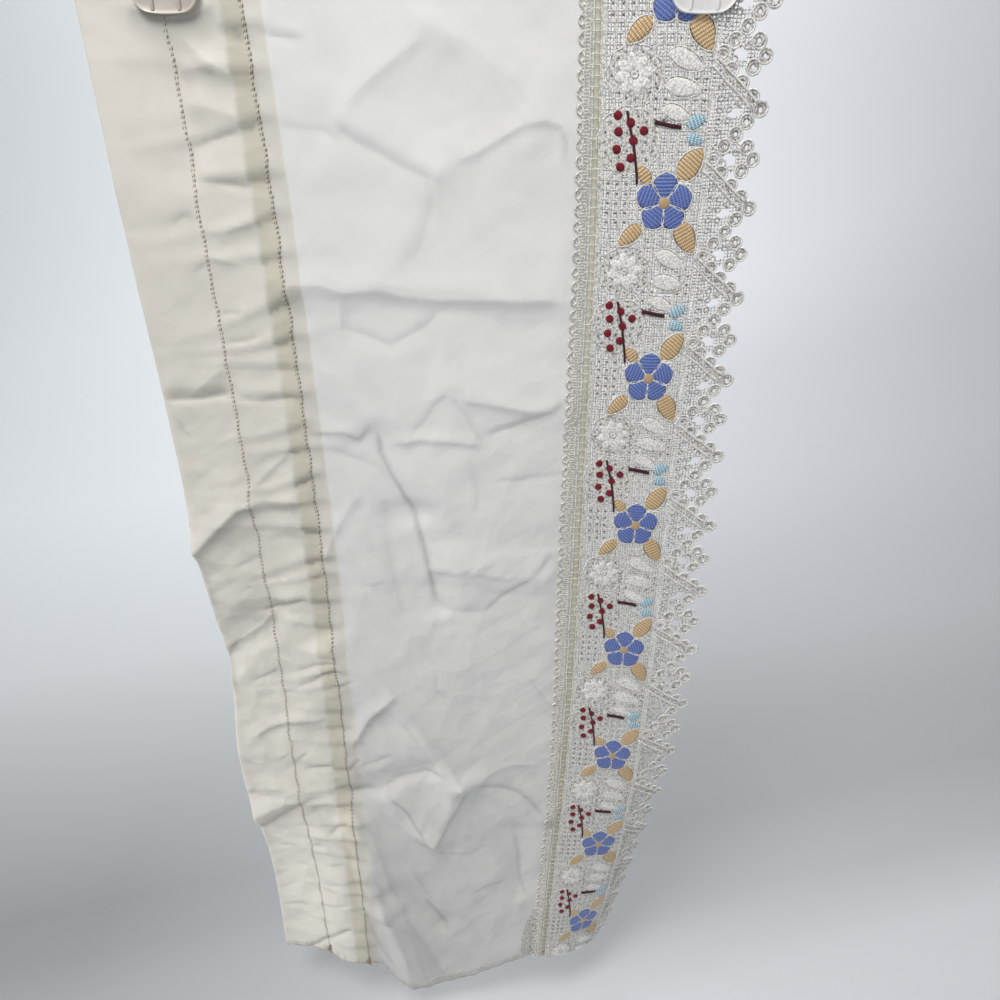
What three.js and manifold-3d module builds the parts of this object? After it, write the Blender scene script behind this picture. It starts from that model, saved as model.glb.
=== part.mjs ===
// A lace valance that hangs by one short end from two plain clips.
// Millimetres, +Z up, the cloth's face towards -Y, the lace border on the +X side.
// The origin is on the middle of the hanging edge, and the length of the cloth runs down from it.
import * as THREE from 'three';
import { mergeVertices } from 'three/addons/utils/BufferGeometryUtils.js';
import Module from 'manifold-3d';

const wasm = await Module();
wasm.setup();

// Thicknesses and gaps
const VOILE = 1.0;            // thickness of the voile sheet
const LACE = 1.2;             // thickness of the lace band
const GAP = 0.3;              // air between pieces that touch on the real thing
const LAYER_STEP = 1.6;       // from one folded layer to the next
const HEM_DEPTH = 9;          // height of the narrow hem across each short end
const HEM_SWELL = 0.8;        // how much thicker the single sheet is there, on its rear face
const LACE_SHIFT = -(VOILE / 2 + GAP + LACE / 2);
const SAME_POINT = 1e-4;      // points closer than this are one

// Folded header: its top layer turns over at the fold line and comes back behind
const TURN_IN = 13.5;         // the turned-in edge, measured back from the second stitch row
const TURN_OUT = 12.5;        // the lower fold of that edge, past the second stitch row
const BETWEEN_ROWS = 1.38;    // a station between the two stitch rows
const PAST_TURN = 2.06;       // the station where the turned-in edge ends and the single sheet goes on
const MID_DOWN = 480;         // depth at which the section is measured

// Lace border, measured across it from its scalloped edge
const LACE_WIDTH = 135;
const HEADING_WIDTH = 19.7;
const BASE_LINE = 92;
const LACE_LENGTH = 957;
const SCALLOP_PITCH = 11;
const SCALLOP_DEPTH = 3;
const TOOTH_PITCH = 63.75;
const FIRST_TOOTH = -14.5;    // the first point starts a little above the cut end
const CLEAR_OF_LACE = 120;    // how far past the points the edge cutter reaches
const RING_RADIUS = 5.2;
const SCALLOP_PEAK = 0.3;     // the scallops' crests lie this far in from the edge
const SCALLOP_CREST = [0.28, 0.72];
const RIBBON_TUCK = 1;        // the voile's edge lies this far short of the ribbon line
const PAST_TIPS = 1.12;       // the uncut band reaches a little past the tips, in stations
const CUT_END_MARGIN = 8;     // rings centred this far past the cut ends still shape them
const WINDOW_CLEAR_OF_END = 12;

// Reach of the cutters past what they cut
const CUTTER_FRONT = 60;
const CUTTER_REAR = 100;
const CUTTER_END = 30;
const CUTTER_SEAM_SIDE = 12;

// Clips
const CLIP_WIDTH = 44;
const CLIP_GRIP = 24;         // how far the jaws reach down over the cloth
const CLIP_RISE = 24;         // how far they stand above its edge
const CLIP_CORNER = 7;
const JAW = 3;
const RIB_WIDTH = 3;
const RIB_HEIGHT = 1.2;
const PIN_RADIUS = 2;
const PIN_LENGTH = 34;
const PIN_HEIGHT = 9;         // the hinge pin's height above the cloth's edge
const PIN_SIDES = 16;
const RIB_OFFSET = 9.7;       // each rib's middle, from the middle of the jaw
const RIB_MARGIN = 8;         // from each end of the jaw to the rib
const CALM_ASIDE = 8;         // the jaws hold the cloth flat this far past their sides
const CALM_BELOW = 6;         // and past their lower edge
const CALM_FADE = 30;
const CLIP_CENTRES = { heading: -174, lace: 175 };

// Grid of the sheets
const ROWS = 54;
const PANEL_COLUMNS = 9;
const FIELD_COLUMNS = 4;
const POINT_COLUMNS = 3;
const FOLD_STEPS = [-45, 0, 45];

// Makes a list of objects from rows of values and the names of their columns
function table(columns, rows) {
  return rows.map((row) => Object.fromEntries(columns.map((name, i) => [name, row[i]])));
}

// The lines that run down the cloth, as they hang. Across is X; back is how far an edge curls to the rear.
const STATION_COLUMNS = ['fold', 'row1', 'row2', 'seam', 'ribbon', 'base', 'tip'];
const LINES = table(['down', ...STATION_COLUMNS, 'foldBack', 'baseBack', 'tipBack'], [
  [0, -235, -178, -127, 93, 110, 186, 229, 0, 0, 0],
  [160, -231, -174, -120, 95, 114, 187, 230, 0, 0, 2],
  [300, -226, -170, -116, 93, 114, 185, 230, 2, 0, 0],
  [430, -223, -167, -113, 92, 114, 184, 230, 4, 0, -3],
  [565, -215, -164, -111, 92, 113, 182, 227, 8, 0, 0],
  [650, -220, -164, -111, 91, 111, 180, 222, 5, 3, 9],
  [720, -218, -162, -110, 89, 108, 177, 213, 8, 8, 21],
  [820, -212, -158, -109, 84, 103, 170, 200, 22, 17, 40],
  [960, -212, -156, -109, 77, 96, 155, 178, 24, 30, 58],
]);

// Stations across the cloth: 0 fold, 1 and 2 stitch rows, 3 seam, 4 ribbon, 5 base line, 6 tips.
// The bottom edge hangs at a different depth at each, lowest in the plain cloth.
const END_DROPS = table(['station', 'drop'], [
  [0, 966],
  [1, 956],
  [2, 961],
  [2.12, 988],
  [2.29, 1008],
  [2.43, 1000],
  [2.63, 990],
  [2.86, 970],
  [3, 957],
  [4, 957],
  [5, 968],
  [6, 952],
]);

// Main creases of the hanging cloth: a ridge from one point to another, in X and depth below the top edge.
// It falls off over `left` and `right` millimetres on its two sides, and stands `rise` towards the front.
const CREASES = table(['name', 'x1', 'd1', 'x2', 'd2', 'left', 'right', 'rise'], [
  ['upper diamond, top left', -67, 85, -3, 34, 40, 26, 1.8],
  ['upper diamond, top right', -3, 34, 66, 80, 45, 30, 1.8],
  ['upper diamond, foot left', -68, 89, -5, 124, 26, 45, 2.2],
  ['upper diamond, foot right', -5, 124, 88, 88, 26, 42, 2.4],
  ['short fall below it', -3, 126, -31, 182, 24, 30, 1.6],
  ['packing fold across', -114, 196, 90, 206, 55, 18, 3.2],
  ['cross crease by the seam', -5, 277, 93, 292, 40, 18, 3.5],
  ['long crease, upper', -62, 318, -30, 390, 22, 45, -6],
  ['long crease, lower', -30, 390, -12, 480, 22, 45, -6],
  ['step to the seam', -19, 443, 78, 443, 30, 18, 5],
  ['lower diamond, long ridge', -110, 520, 8, 688, 42, 26, 8],
  ['lower diamond, under edge', 8, 688, -27, 766, 22, 34, 8],
  ['lower diamond, left edge', -72, 700, -27, 766, 26, 20, 6],
  ['valley from the second row', -110, 698, -28, 672, 22, 20, -5],
  ['foot ridge, upper', -106, 735, -80, 869, 34, 24, 7],
  ['foot ridge, lower', -80, 869, -60, 1004, 30, 24, 8],
  ['foot valley', -76, 842, -22, 905, 26, 26, -6],
  ['curved crease by the seam', 24, 684, 86, 735, 36, 20, 6],
  ['seam pocket', 58, 754, 66, 850, 18, 26, -4],
  ['header corner, upper', -223, 423, -170, 377, 34, 22, 6],
  ['header corner, lower', -223, 423, -190, 480, 24, 26, 5],
  ['header slant', -216, 550, -160, 480, 26, 20, -6],
  ['header foot slant', -216, 748, -160, 705, 26, 20, 6],
  ['dart under the heading clip', -174, 26, -176, 120, 14, 22, -4],
]);

// Broad ripples that the two stitch rows draw up across the header
const HEADER_RIPPLE = 2.2;
const HEADER_RIPPLE_PITCH = 78;
const HEADER_RIPPLE_LEAN = 40;
const HEADER_EDGE = -105;
const HEADER_EDGE_FADE = 20;

// Slow wave of the whole hanging cloth: its height, and its lengths across and down
const DRAPE = { rise: 3.5, across: 62, acrossStart: 0.6, down: 210, downStart: 0.4 };
const CREASE_FADE = 18;       // a crease dies out this far past its ends
const LACE_CURL = 1.5;        // the lace's curl grows towards the base line by this power

function smooth(value) {
  const s = Math.min(1, Math.max(0, value));
  return s * s * (3 - 2 * s);
}

function lerp(a, b, share) {
  return a + (b - a) * share;
}

// A smooth curve through one column of the table of lines
function lineAt(column, down) {
  const last = LINES.length - 1;
  let i = 0;
  while (i < last - 1 && down > LINES[i + 1].down) i += 1;
  const point = (k) => LINES[Math.min(last, Math.max(0, k))];
  const slope = (k) => {
    const run = point(k + 1).down - point(k - 1).down;
    return (point(k + 1)[column] - point(k - 1)[column]) / run;
  };
  const span = LINES[i + 1].down - LINES[i].down;
  const u = (down - LINES[i].down) / span;
  const u2 = u * u;
  const u3 = u2 * u;
  return (2 * u3 - 3 * u2 + 1) * LINES[i][column] + (u3 - 2 * u2 + u) * span * slope(i)
    + (-2 * u3 + 3 * u2) * LINES[i + 1][column] + (u3 - u2) * span * slope(i + 1);
}

function acrossAt(station, down) {
  const i = Math.min(STATION_COLUMNS.length - 2, Math.floor(station));
  const from = lineAt(STATION_COLUMNS[i], down);
  const to = lineAt(STATION_COLUMNS[i + 1], down);
  return lerp(from, to, station - i);
}

function endDrop(station) {
  let i = 0;
  while (i < END_DROPS.length - 2 && station > END_DROPS[i + 1].station) i += 1;
  const a = END_DROPS[i];
  const b = END_DROPS[i + 1];
  return lerp(a.drop, b.drop, (station - a.station) / (b.station - a.station));
}

// How far the header and the lace curl to the rear
function curlAt(station, down) {
  if (station < 2) return lineAt('foldBack', down) * smooth((2 - station) / 2);
  if (station <= 4) return 0;
  if (station <= 5) return lineAt('baseBack', down) * (station - 4) ** LACE_CURL;
  return lerp(lineAt('baseBack', down), lineAt('tipBack', down), station - 5);
}

function creaseRise(crease, x, down) {
  const runX = crease.x2 - crease.x1;
  const runD = crease.d2 - crease.d1;
  const length = Math.hypot(runX, runD);
  const along = ((x - crease.x1) * runX + (down - crease.d1) * runD) / length;
  const aside = ((x - crease.x1) * runD - (down - crease.d1) * runX) / length;
  const reach = aside > 0 ? crease.left : crease.right;
  const past = Math.max(0, -along, along - length);
  const ends = smooth(1 - past / CREASE_FADE);
  return crease.rise * ends * Math.max(0, 1 - Math.abs(aside) / reach);
}

// The jaws hold the cloth flat
function clipCalm(x, down) {
  let calm = 1;
  for (const centre of Object.values(CLIP_CENTRES)) {
    const offX = Math.max(0, Math.abs(x - centre) - CLIP_WIDTH / 2 - CALM_ASIDE);
    const offDown = Math.max(0, down - CLIP_GRIP - CALM_BELOW);
    calm = Math.min(calm, smooth(Math.hypot(offX, offDown) / CALM_FADE));
  }
  return calm;
}

function relief(x, down) {
  const waveAcross = Math.sin(x / DRAPE.across + DRAPE.acrossStart);
  const waveDown = Math.sin(down / DRAPE.down + DRAPE.downStart);
  const header = smooth((HEADER_EDGE - x) / HEADER_EDGE_FADE);
  const ripple = Math.sin((2 * Math.PI * down) / HEADER_RIPPLE_PITCH + x / HEADER_RIPPLE_LEAN);
  let rise = DRAPE.rise * waveAcross * waveDown + HEADER_RIPPLE * header * ripple;
  for (const crease of CREASES) rise += creaseRise(crease, x, down);
  return rise * clipCalm(x, down);
}

// Where a point of the cloth hangs: station across, share of the way down, shift along X, offset to the rear
function hang(station, share, shift, offset) {
  const down = share * endDrop(station);
  const x = acrossAt(station, down) + shift;
  const y = curlAt(station, down) - relief(x, down) + offset;
  return new THREE.Vector3(x, y, -down);
}

// A closed sheet from rows of section pairs. place(column, row, side) gives a point, side -1 front, 1 rear.
// flipped(column) turns the quads' diagonals where a folded layer runs the other way.
function sheetGeometry(columns, rows, place, flipped = () => false) {
  const points = [];
  const at = (c, r, side) => ((r * (columns + 1) + c) * 2 + (side > 0 ? 1 : 0));
  for (let r = 0; r <= rows; r += 1) {
    for (let c = 0; c <= columns; c += 1) {
      points.push(...place(c, r, -1).toArray(), ...place(c, r, 1).toArray());
    }
  }
  const index = [];
  const quad = (a, b, c, d, turn) => {
    if (turn) index.push(a, b, d, b, c, d);
    else index.push(a, b, c, a, c, d);
  };
  for (let r = 0; r < rows; r += 1) {
    for (let c = 0; c < columns; c += 1) {
      const turn = flipped(c);
      quad(at(c, r, -1), at(c, r + 1, -1), at(c + 1, r + 1, -1), at(c + 1, r, -1), turn);
      quad(at(c, r, 1), at(c + 1, r, 1), at(c + 1, r + 1, 1), at(c, r + 1, 1), turn);
    }
    quad(at(0, r, 1), at(0, r + 1, 1), at(0, r + 1, -1), at(0, r, -1), false);
    quad(at(columns, r, -1), at(columns, r + 1, -1), at(columns, r + 1, 1), at(columns, r, 1), false);
  }
  for (let c = 0; c < columns; c += 1) {
    quad(at(c, 0, 1), at(c, 0, -1), at(c + 1, 0, -1), at(c + 1, 0, 1), false);
    quad(at(c, rows, -1), at(c, rows, 1), at(c + 1, rows, 1), at(c + 1, rows, -1), false);
  }
  const geometry = new THREE.BufferGeometry();
  geometry.setAttribute('position', new THREE.Float32BufferAttribute(points, 3));
  geometry.setIndex(index);
  return geometry;
}

// Rows lie closer together at both ends, so that the hems are short
function rowShare(row) {
  const hem = HEM_DEPTH / LACE_LENGTH;
  if (row === 0) return 0;
  if (row === ROWS) return 1;
  return lerp(hem, 1 - hem, (row - 1) / (ROWS - 2));
}

function hemSwell(station, row, side) {
  const inHem = row <= 1 || row >= ROWS - 1;
  return inHem && station > 2.1 && side > 0 ? HEM_SWELL : 0;
}

// The folded section of the panel, from the turned-in edge to the edge behind the lace heading.
// Each point has a station, a shift along X and the depth of its layer.
function panelSection() {
  const radius = LAYER_STEP / 2;
  const inner = LAYER_STEP;
  const rear = 2 * LAYER_STEP;
  const section = [];
  const push = (station, shift, y, flip) => section.push({ station, shift, y, flip });
  push(2, -TURN_IN, inner, true);
  push(2, 0, inner, true);
  push(2, TURN_OUT - radius, inner, true);
  for (const angle of FOLD_STEPS) {
    const a = THREE.MathUtils.degToRad(angle);
    push(2, TURN_OUT - radius + radius * Math.cos(a), inner + radius + radius * Math.sin(a), true);
  }
  push(2, TURN_OUT - radius, rear, true);
  push(2, 0, rear, true);
  push(2, -TURN_IN, rear, true);
  push(BETWEEN_ROWS, 0, rear, true);
  push(1, 0, rear, true);
  push(0.5, 0, rear, true);
  push(0, LAYER_STEP, rear, true);
  for (const angle of FOLD_STEPS) {
    const a = THREE.MathUtils.degToRad(-angle);
    push(0, LAYER_STEP - LAYER_STEP * Math.cos(a), inner + LAYER_STEP * Math.sin(a), false);
  }
  push(0, LAYER_STEP, 0, false);
  push(0.5, 0, 0, false);
  push(1, 0, 0, false);
  push(BETWEEN_ROWS, 0, 0, false);
  push(2, -TURN_IN, 0, false);
  push(2, 0, 0, false);
  push(2, TURN_OUT - radius, 0, false);
  for (let c = 1; c <= PANEL_COLUMNS; c += 1) {
    push(lerp(PAST_TURN, 3, c / PANEL_COLUMNS), 0, 0, false);
  }
  push(4, -RIBBON_TUCK, 0, false);
  return section;
}

// The direction across each point's layer, from its neighbours in the section at mid height
function sectionNormals(section) {
  const flat = section.map((p) => {
    const x = acrossAt(p.station, MID_DOWN) + p.shift;
    return new THREE.Vector2(x, p.y);
  });
  return flat.map((point, i) => {
    const before = flat[Math.max(0, i - 1)];
    const after = flat[Math.min(flat.length - 1, i + 1)];
    const into = point.clone().sub(before).normalize();
    const out = after.clone().sub(point).normalize();
    const run = into.add(out).normalize();
    return new THREE.Vector2(-run.y, run.x);
  });
}

function panelGeometry() {
  const section = panelSection();
  const normals = sectionNormals(section);
  const place = (c, r, side) => {
    const p = section[c];
    const half = side * (VOILE / 2 + hemSwell(p.station, r, side));
    const hung = hang(p.station, rowShare(r), p.shift, 0);
    hung.x += normals[c].x * half;
    hung.y += p.y + normals[c].y * half;
    return hung;
  };
  return sheetGeometry(section.length - 1, ROWS, place, (c) => section[c].flip);
}

// The lace's own coordinates: `out` from the scalloped edge, `along` down from the cut end
function laceStation(out) {
  if (out <= HEADING_WIDTH) return 3 + out / HEADING_WIDTH;
  if (out <= BASE_LINE) return 4 + (out - HEADING_WIDTH) / (BASE_LINE - HEADING_WIDTH);
  return 5 + (out - BASE_LINE) / (LACE_WIDTH - BASE_LINE);
}

function lacePoint(out, along) {
  return hang(laceStation(out), along / LACE_LENGTH, 0, LACE_SHIFT);
}

function laceSheet() {
  const stations = [3];
  for (let c = 0; c <= FIELD_COLUMNS; c += 1) stations.push(4 + c / FIELD_COLUMNS);
  for (let c = 1; c <= POINT_COLUMNS; c += 1) stations.push(5 + (PAST_TIPS * c) / POINT_COLUMNS);
  const place = (c, r, side) => {
    const half = (side * LACE) / 2;
    const shift = stations[c] === 4 ? -RIBBON_TUCK : 0;
    return hang(stations[c], rowShare(r), shift, LACE_SHIFT + half);
  };
  return sheetGeometry(stations.length - 1, ROWS, place);
}

// Rings of one point of the edging, outwards from the base line and along from where the point starts.
// `faces` is the way each looks out, in degrees from straight outwards towards the bottom.
const EDGE_RINGS = table(['out', 'along', 'faces'], [
  [26.5, 4.5, 55],
  [20.5, 14, -5],
  [28.5, 22, -50],
  [35.5, 30, 5],
  [26.5, 37, 55],
  [19.5, 45, 5],
  [28.5, 53, -50],
  [34, 61.5, 0],
]);
const RING_STEPS = [-48, 0, 48];

function pointStarts() {
  const starts = [];
  for (let start = FIRST_TOOTH; start < LACE_LENGTH + TOOTH_PITCH; start += TOOTH_PITCH) starts.push(start);
  return starts;
}

// A straight cutter through the cloth, from an outline given in the lace's own coordinates
function cutter(outline) {
  const shape = new THREE.Shape(outline.map(([out, along]) => {
    const p = lacePoint(out, along);
    return new THREE.Vector2(p.x, p.z);
  }));
  const depth = CUTTER_FRONT + CUTTER_REAR;
  const geometry = new THREE.ExtrudeGeometry(shape, { depth, bevelEnabled: false });
  geometry.rotateX(Math.PI / 2);
  geometry.translate(0, CUTTER_REAR, 0);
  return solidOf(geometry);
}

function edgeCutter() {
  const outline = [[LACE_WIDTH + CLEAR_OF_LACE, -CUTTER_END]];
  for (const start of pointStarts()) {
    for (const ring of EDGE_RINGS) {
      for (const step of RING_STEPS) {
        const a = THREE.MathUtils.degToRad(ring.faces + step);
        const out = BASE_LINE + ring.out + RING_RADIUS * Math.cos(a);
        const along = start + ring.along + RING_RADIUS * Math.sin(a);
        const nearLace = along > -CUT_END_MARGIN && along < LACE_LENGTH + CUT_END_MARGIN;
        if (nearLace) outline.push([out, along]);
      }
    }
  }
  outline.push([LACE_WIDTH + CLEAR_OF_LACE, LACE_LENGTH + CUTTER_END]);
  return cutter(outline);
}

function scallopCutter() {
  const outline = [[-CUTTER_SEAM_SIDE, -CUTTER_END]];
  for (let along = -SCALLOP_PITCH; along < LACE_LENGTH + SCALLOP_PITCH; along += SCALLOP_PITCH) {
    outline.push([SCALLOP_PEAK + SCALLOP_DEPTH, along]);
    for (const share of SCALLOP_CREST) outline.push([SCALLOP_PEAK, along + SCALLOP_PITCH * share]);
  }
  outline.push([-CUTTER_SEAM_SIDE, LACE_LENGTH + CUTTER_END]);
  return cutter(outline);
}

// Open windows over 4 mm: one inside each point by the rings, and one in the notch between two points
const WINDOWS = table(['out', 'along', 'halfOut', 'halfAlong'], [
  [17.5, 31, 4.4, 2.4],
  [17.5, 60.5, 4.2, 4],
]);

function windowCutters() {
  const corners = [[-1, 0], [-0.55, -1], [0.55, -1], [1, 0], [0.55, 1], [-0.55, 1]];
  const cutters = [];
  for (const start of pointStarts()) {
    for (const w of WINDOWS) {
      const along = start + w.along;
      const fits = along > CLIP_GRIP && along < LACE_LENGTH - WINDOW_CLEAR_OF_END;
      if (!fits) continue;
      cutters.push(cutter(corners.map(([o, a]) => [
        BASE_LINE + w.out + o * w.halfOut,
        along + a * w.halfAlong,
      ])));
    }
  }
  return cutters;
}

function solidOf(geometry) {
  const bare = geometry.clone();
  bare.deleteAttribute('normal');
  bare.deleteAttribute('uv');
  const merged = mergeVertices(bare, SAME_POINT);
  return new wasm.Manifold(new wasm.Mesh({
    numProp: 3,
    vertProperties: new Float32Array(merged.attributes.position.array),
    triVerts: new Uint32Array(merged.index.array),
  }));
}

function geometryOf(solid) {
  const mesh = solid.getMesh();
  const geometry = new THREE.BufferGeometry();
  geometry.setAttribute('position', new THREE.BufferAttribute(new Float32Array(mesh.vertProperties), 3));
  geometry.setIndex(new THREE.BufferAttribute(new Uint32Array(mesh.triVerts), 1));
  return geometry;
}

function laceGeometry() {
  let lace = solidOf(laceSheet());
  for (const cut of [edgeCutter(), scallopCutter(), ...windowCutters()]) lace = lace.subtract(cut);
  return geometryOf(lace);
}

// Plain plastic clips: two jaws with a steel pin between them
function jawPlate() {
  const half = CLIP_WIDTH / 2;
  const c = CLIP_CORNER;
  const shape = new THREE.Shape();
  shape.moveTo(-half + c, -CLIP_GRIP);
  shape.lineTo(half - c, -CLIP_GRIP);
  shape.absarc(half - c, -CLIP_GRIP + c, c, -Math.PI / 2, 0, false);
  shape.lineTo(half, CLIP_RISE - c);
  shape.absarc(half - c, CLIP_RISE - c, c, 0, Math.PI / 2, false);
  shape.lineTo(-half + c, CLIP_RISE);
  shape.absarc(-half + c, CLIP_RISE - c, c, Math.PI / 2, Math.PI, false);
  shape.lineTo(-half, -CLIP_GRIP + c);
  shape.absarc(-half + c, -CLIP_GRIP + c, c, Math.PI, Math.PI * 1.5, false);
  const plate = new THREE.ExtrudeGeometry(shape, { depth: JAW, bevelEnabled: false, curveSegments: 5 });
  plate.rotateX(Math.PI / 2);
  return plate;
}

// A jaw whose inner face lies at y = 0 and whose body goes to -Y, with ribs on its outer face
function jawGeometry() {
  let jaw = solidOf(jawPlate());
  for (const side of [-1, 1]) {
    const sunk = JAW / 3;
    const rib = new THREE.BoxGeometry(RIB_WIDTH, RIB_HEIGHT + sunk, CLIP_GRIP + CLIP_RISE - 2 * RIB_MARGIN);
    rib.translate(side * RIB_OFFSET, -JAW - RIB_HEIGHT / 2 + sunk / 2, (CLIP_RISE - CLIP_GRIP) / 2);
    jaw = jaw.add(solidOf(rib));
  }
  return jaw;
}

function pinGeometry(radius, length) {
  const pin = new THREE.CylinderGeometry(radius, radius, length, PIN_SIDES);
  pin.rotateZ(Math.PI / 2);
  return pin;
}

function addClip(group, name, centre, frontFace, rearFace, plastic, steel) {
  const middle = (frontFace + rearFace) / 2;
  const groove = pinGeometry(PIN_RADIUS + GAP, PIN_LENGTH + 2 * GAP);
  groove.translate(centre, middle, PIN_HEIGHT);
  const front = jawGeometry().translate([centre, frontFace, 0]).subtract(solidOf(groove));
  const turned = jawGeometry().rotate([0, 0, 180]).translate([centre, rearFace, 0]);
  const rear = turned.subtract(solidOf(groove));
  const pin = pinGeometry(PIN_RADIUS, PIN_LENGTH);
  pin.translate(centre, middle, PIN_HEIGHT);
  addMesh(group, `${name}_front_jaw`, geometryOf(front), plastic);
  addMesh(group, `${name}_rear_jaw`, geometryOf(rear), plastic);
  addMesh(group, `${name}_pin`, pin, steel);
}

function addMesh(group, name, geometry, material) {
  const mesh = new THREE.Mesh(geometry, material);
  mesh.name = name;
  group.add(mesh);
}

const voile = new THREE.MeshStandardMaterial({ color: 0xd8d6cd, roughness: 0.85, metalness: 0 });
const thread = new THREE.MeshStandardMaterial({ color: 0xe4e1d8, roughness: 0.8, metalness: 0 });
const plastic = new THREE.MeshStandardMaterial({ color: 0xf0eee8, roughness: 0.25, metalness: 0 });
const steel = new THREE.MeshStandardMaterial({ color: 0xb8bcc0, roughness: 0.3, metalness: 1 });

const valance = new THREE.Group();
addMesh(valance, 'voile_panel', panelGeometry(), voile);
addMesh(valance, 'lace_border', laceGeometry(), thread);

const headerRear = 2 * LAYER_STEP + VOILE / 2;
const headerFront = -VOILE / 2;
addClip(valance, 'heading_clip', CLIP_CENTRES.heading, headerFront - GAP, headerRear + GAP, plastic, steel);
const laceFront = LACE_SHIFT - LACE / 2;
const laceRear = LACE_SHIFT + LACE / 2;
addClip(valance, 'lace_clip', CLIP_CENTRES.lace, laceFront - GAP, laceRear + GAP, plastic, steel);

export default valance;
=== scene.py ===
# %% [markdown]
# # A lace valance on two clips
#
# A valance is a short curtain. This one is a strip of voile, a thin see-through cloth, about 450 mm
# deep and 1 m long. Its top edge is folded over twice for a rod, and its lower edge has a wide band
# of embroidered lace. Here it hangs by one short end from two plastic clips, so its length runs down.
#
# The lesson works the way a seamstress does. Cloth and lace are made lying flat, in millimetres, and one
# function then hangs them: it carries each flat point to its place on the hanging cloth.

import math
import random

import bmesh
import bpy
import numpy as np
from mathutils import Matrix, Vector


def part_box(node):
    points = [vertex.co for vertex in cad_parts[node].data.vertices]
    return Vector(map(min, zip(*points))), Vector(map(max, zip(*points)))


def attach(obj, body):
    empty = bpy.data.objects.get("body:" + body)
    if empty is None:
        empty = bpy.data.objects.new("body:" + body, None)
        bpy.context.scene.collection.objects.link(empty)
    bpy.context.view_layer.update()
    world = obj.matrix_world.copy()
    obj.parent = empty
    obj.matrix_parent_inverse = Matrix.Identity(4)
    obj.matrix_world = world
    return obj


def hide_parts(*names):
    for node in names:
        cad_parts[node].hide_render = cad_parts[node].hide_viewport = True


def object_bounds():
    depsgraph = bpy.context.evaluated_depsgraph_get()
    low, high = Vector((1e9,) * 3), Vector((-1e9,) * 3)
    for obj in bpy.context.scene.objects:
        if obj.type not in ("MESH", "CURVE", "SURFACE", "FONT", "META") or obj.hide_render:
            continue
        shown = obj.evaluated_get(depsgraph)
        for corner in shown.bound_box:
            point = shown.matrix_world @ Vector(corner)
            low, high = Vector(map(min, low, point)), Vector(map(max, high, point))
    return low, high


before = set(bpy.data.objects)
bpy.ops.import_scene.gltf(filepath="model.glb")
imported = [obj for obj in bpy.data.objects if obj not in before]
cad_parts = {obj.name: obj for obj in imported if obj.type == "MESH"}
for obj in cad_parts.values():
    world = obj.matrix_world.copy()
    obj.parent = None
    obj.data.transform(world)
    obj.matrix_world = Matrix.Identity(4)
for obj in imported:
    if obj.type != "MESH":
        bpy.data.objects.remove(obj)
cad_low, cad_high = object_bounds()
print("packed box", [round(v, 4) for v in cad_low], [round(v, 4) for v in cad_high])

# %% [markdown]
# ## The lines down the cloth
#
# Seven lines run down the hanging cloth: the fold, two stitch rows, the seam where the lace starts, the
# lace's ribbon, its base line and its tips. They are not straight, because the cloth curls and gathers
# towards its foot. A short table gives where each one hangs at a few depths, and how far the two outer
# edges curl to the rear. These are the same lines as in the solids, so the looks fit the frame.

# %% Lines of the hanging cloth, in millimetres
MM = 0.001
STATIONS = ("fold", "row_1", "row_2", "seam", "ribbon", "base", "tip")
LINE_COLUMNS = ("down", *STATIONS, "fold_back", "base_back", "tip_back")
LINES = np.array([
    (0, -235, -178, -127, 93, 110, 186, 229, 0, 0, 0),
    (160, -231, -174, -120, 95, 114, 187, 230, 0, 0, 2),
    (300, -226, -170, -116, 93, 114, 185, 230, 2, 0, 0),
    (430, -223, -167, -113, 92, 114, 184, 230, 4, 0, -3),
    (565, -215, -164, -111, 92, 113, 182, 227, 8, 0, 0),
    (650, -220, -164, -111, 91, 111, 180, 222, 5, 3, 9),
    (720, -218, -162, -110, 89, 108, 177, 213, 8, 8, 21),
    (820, -212, -158, -109, 84, 103, 170, 200, 22, 17, 40),
    (960, -212, -156, -109, 77, 96, 155, 178, 24, 30, 58),
], float)

# How deep the bottom edge hangs at each station across
END_STATIONS = (0, 1, 2, 2.12, 2.29, 2.43, 2.63, 2.86, 3, 4, 5, 6)
END_DROPS = (966, 956, 961, 988, 1008, 1000, 990, 970, 957, 957, 968, 952)

# The clips' middles across, their width, and how far down their jaws grip
CLIP_CENTRES = (-174, 175)
CLIP_WIDTH = 44
CLIP_GRIP = 24
print(len(LINES), "rows of lines, down to", LINES[-1, 0], "mm")
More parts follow.
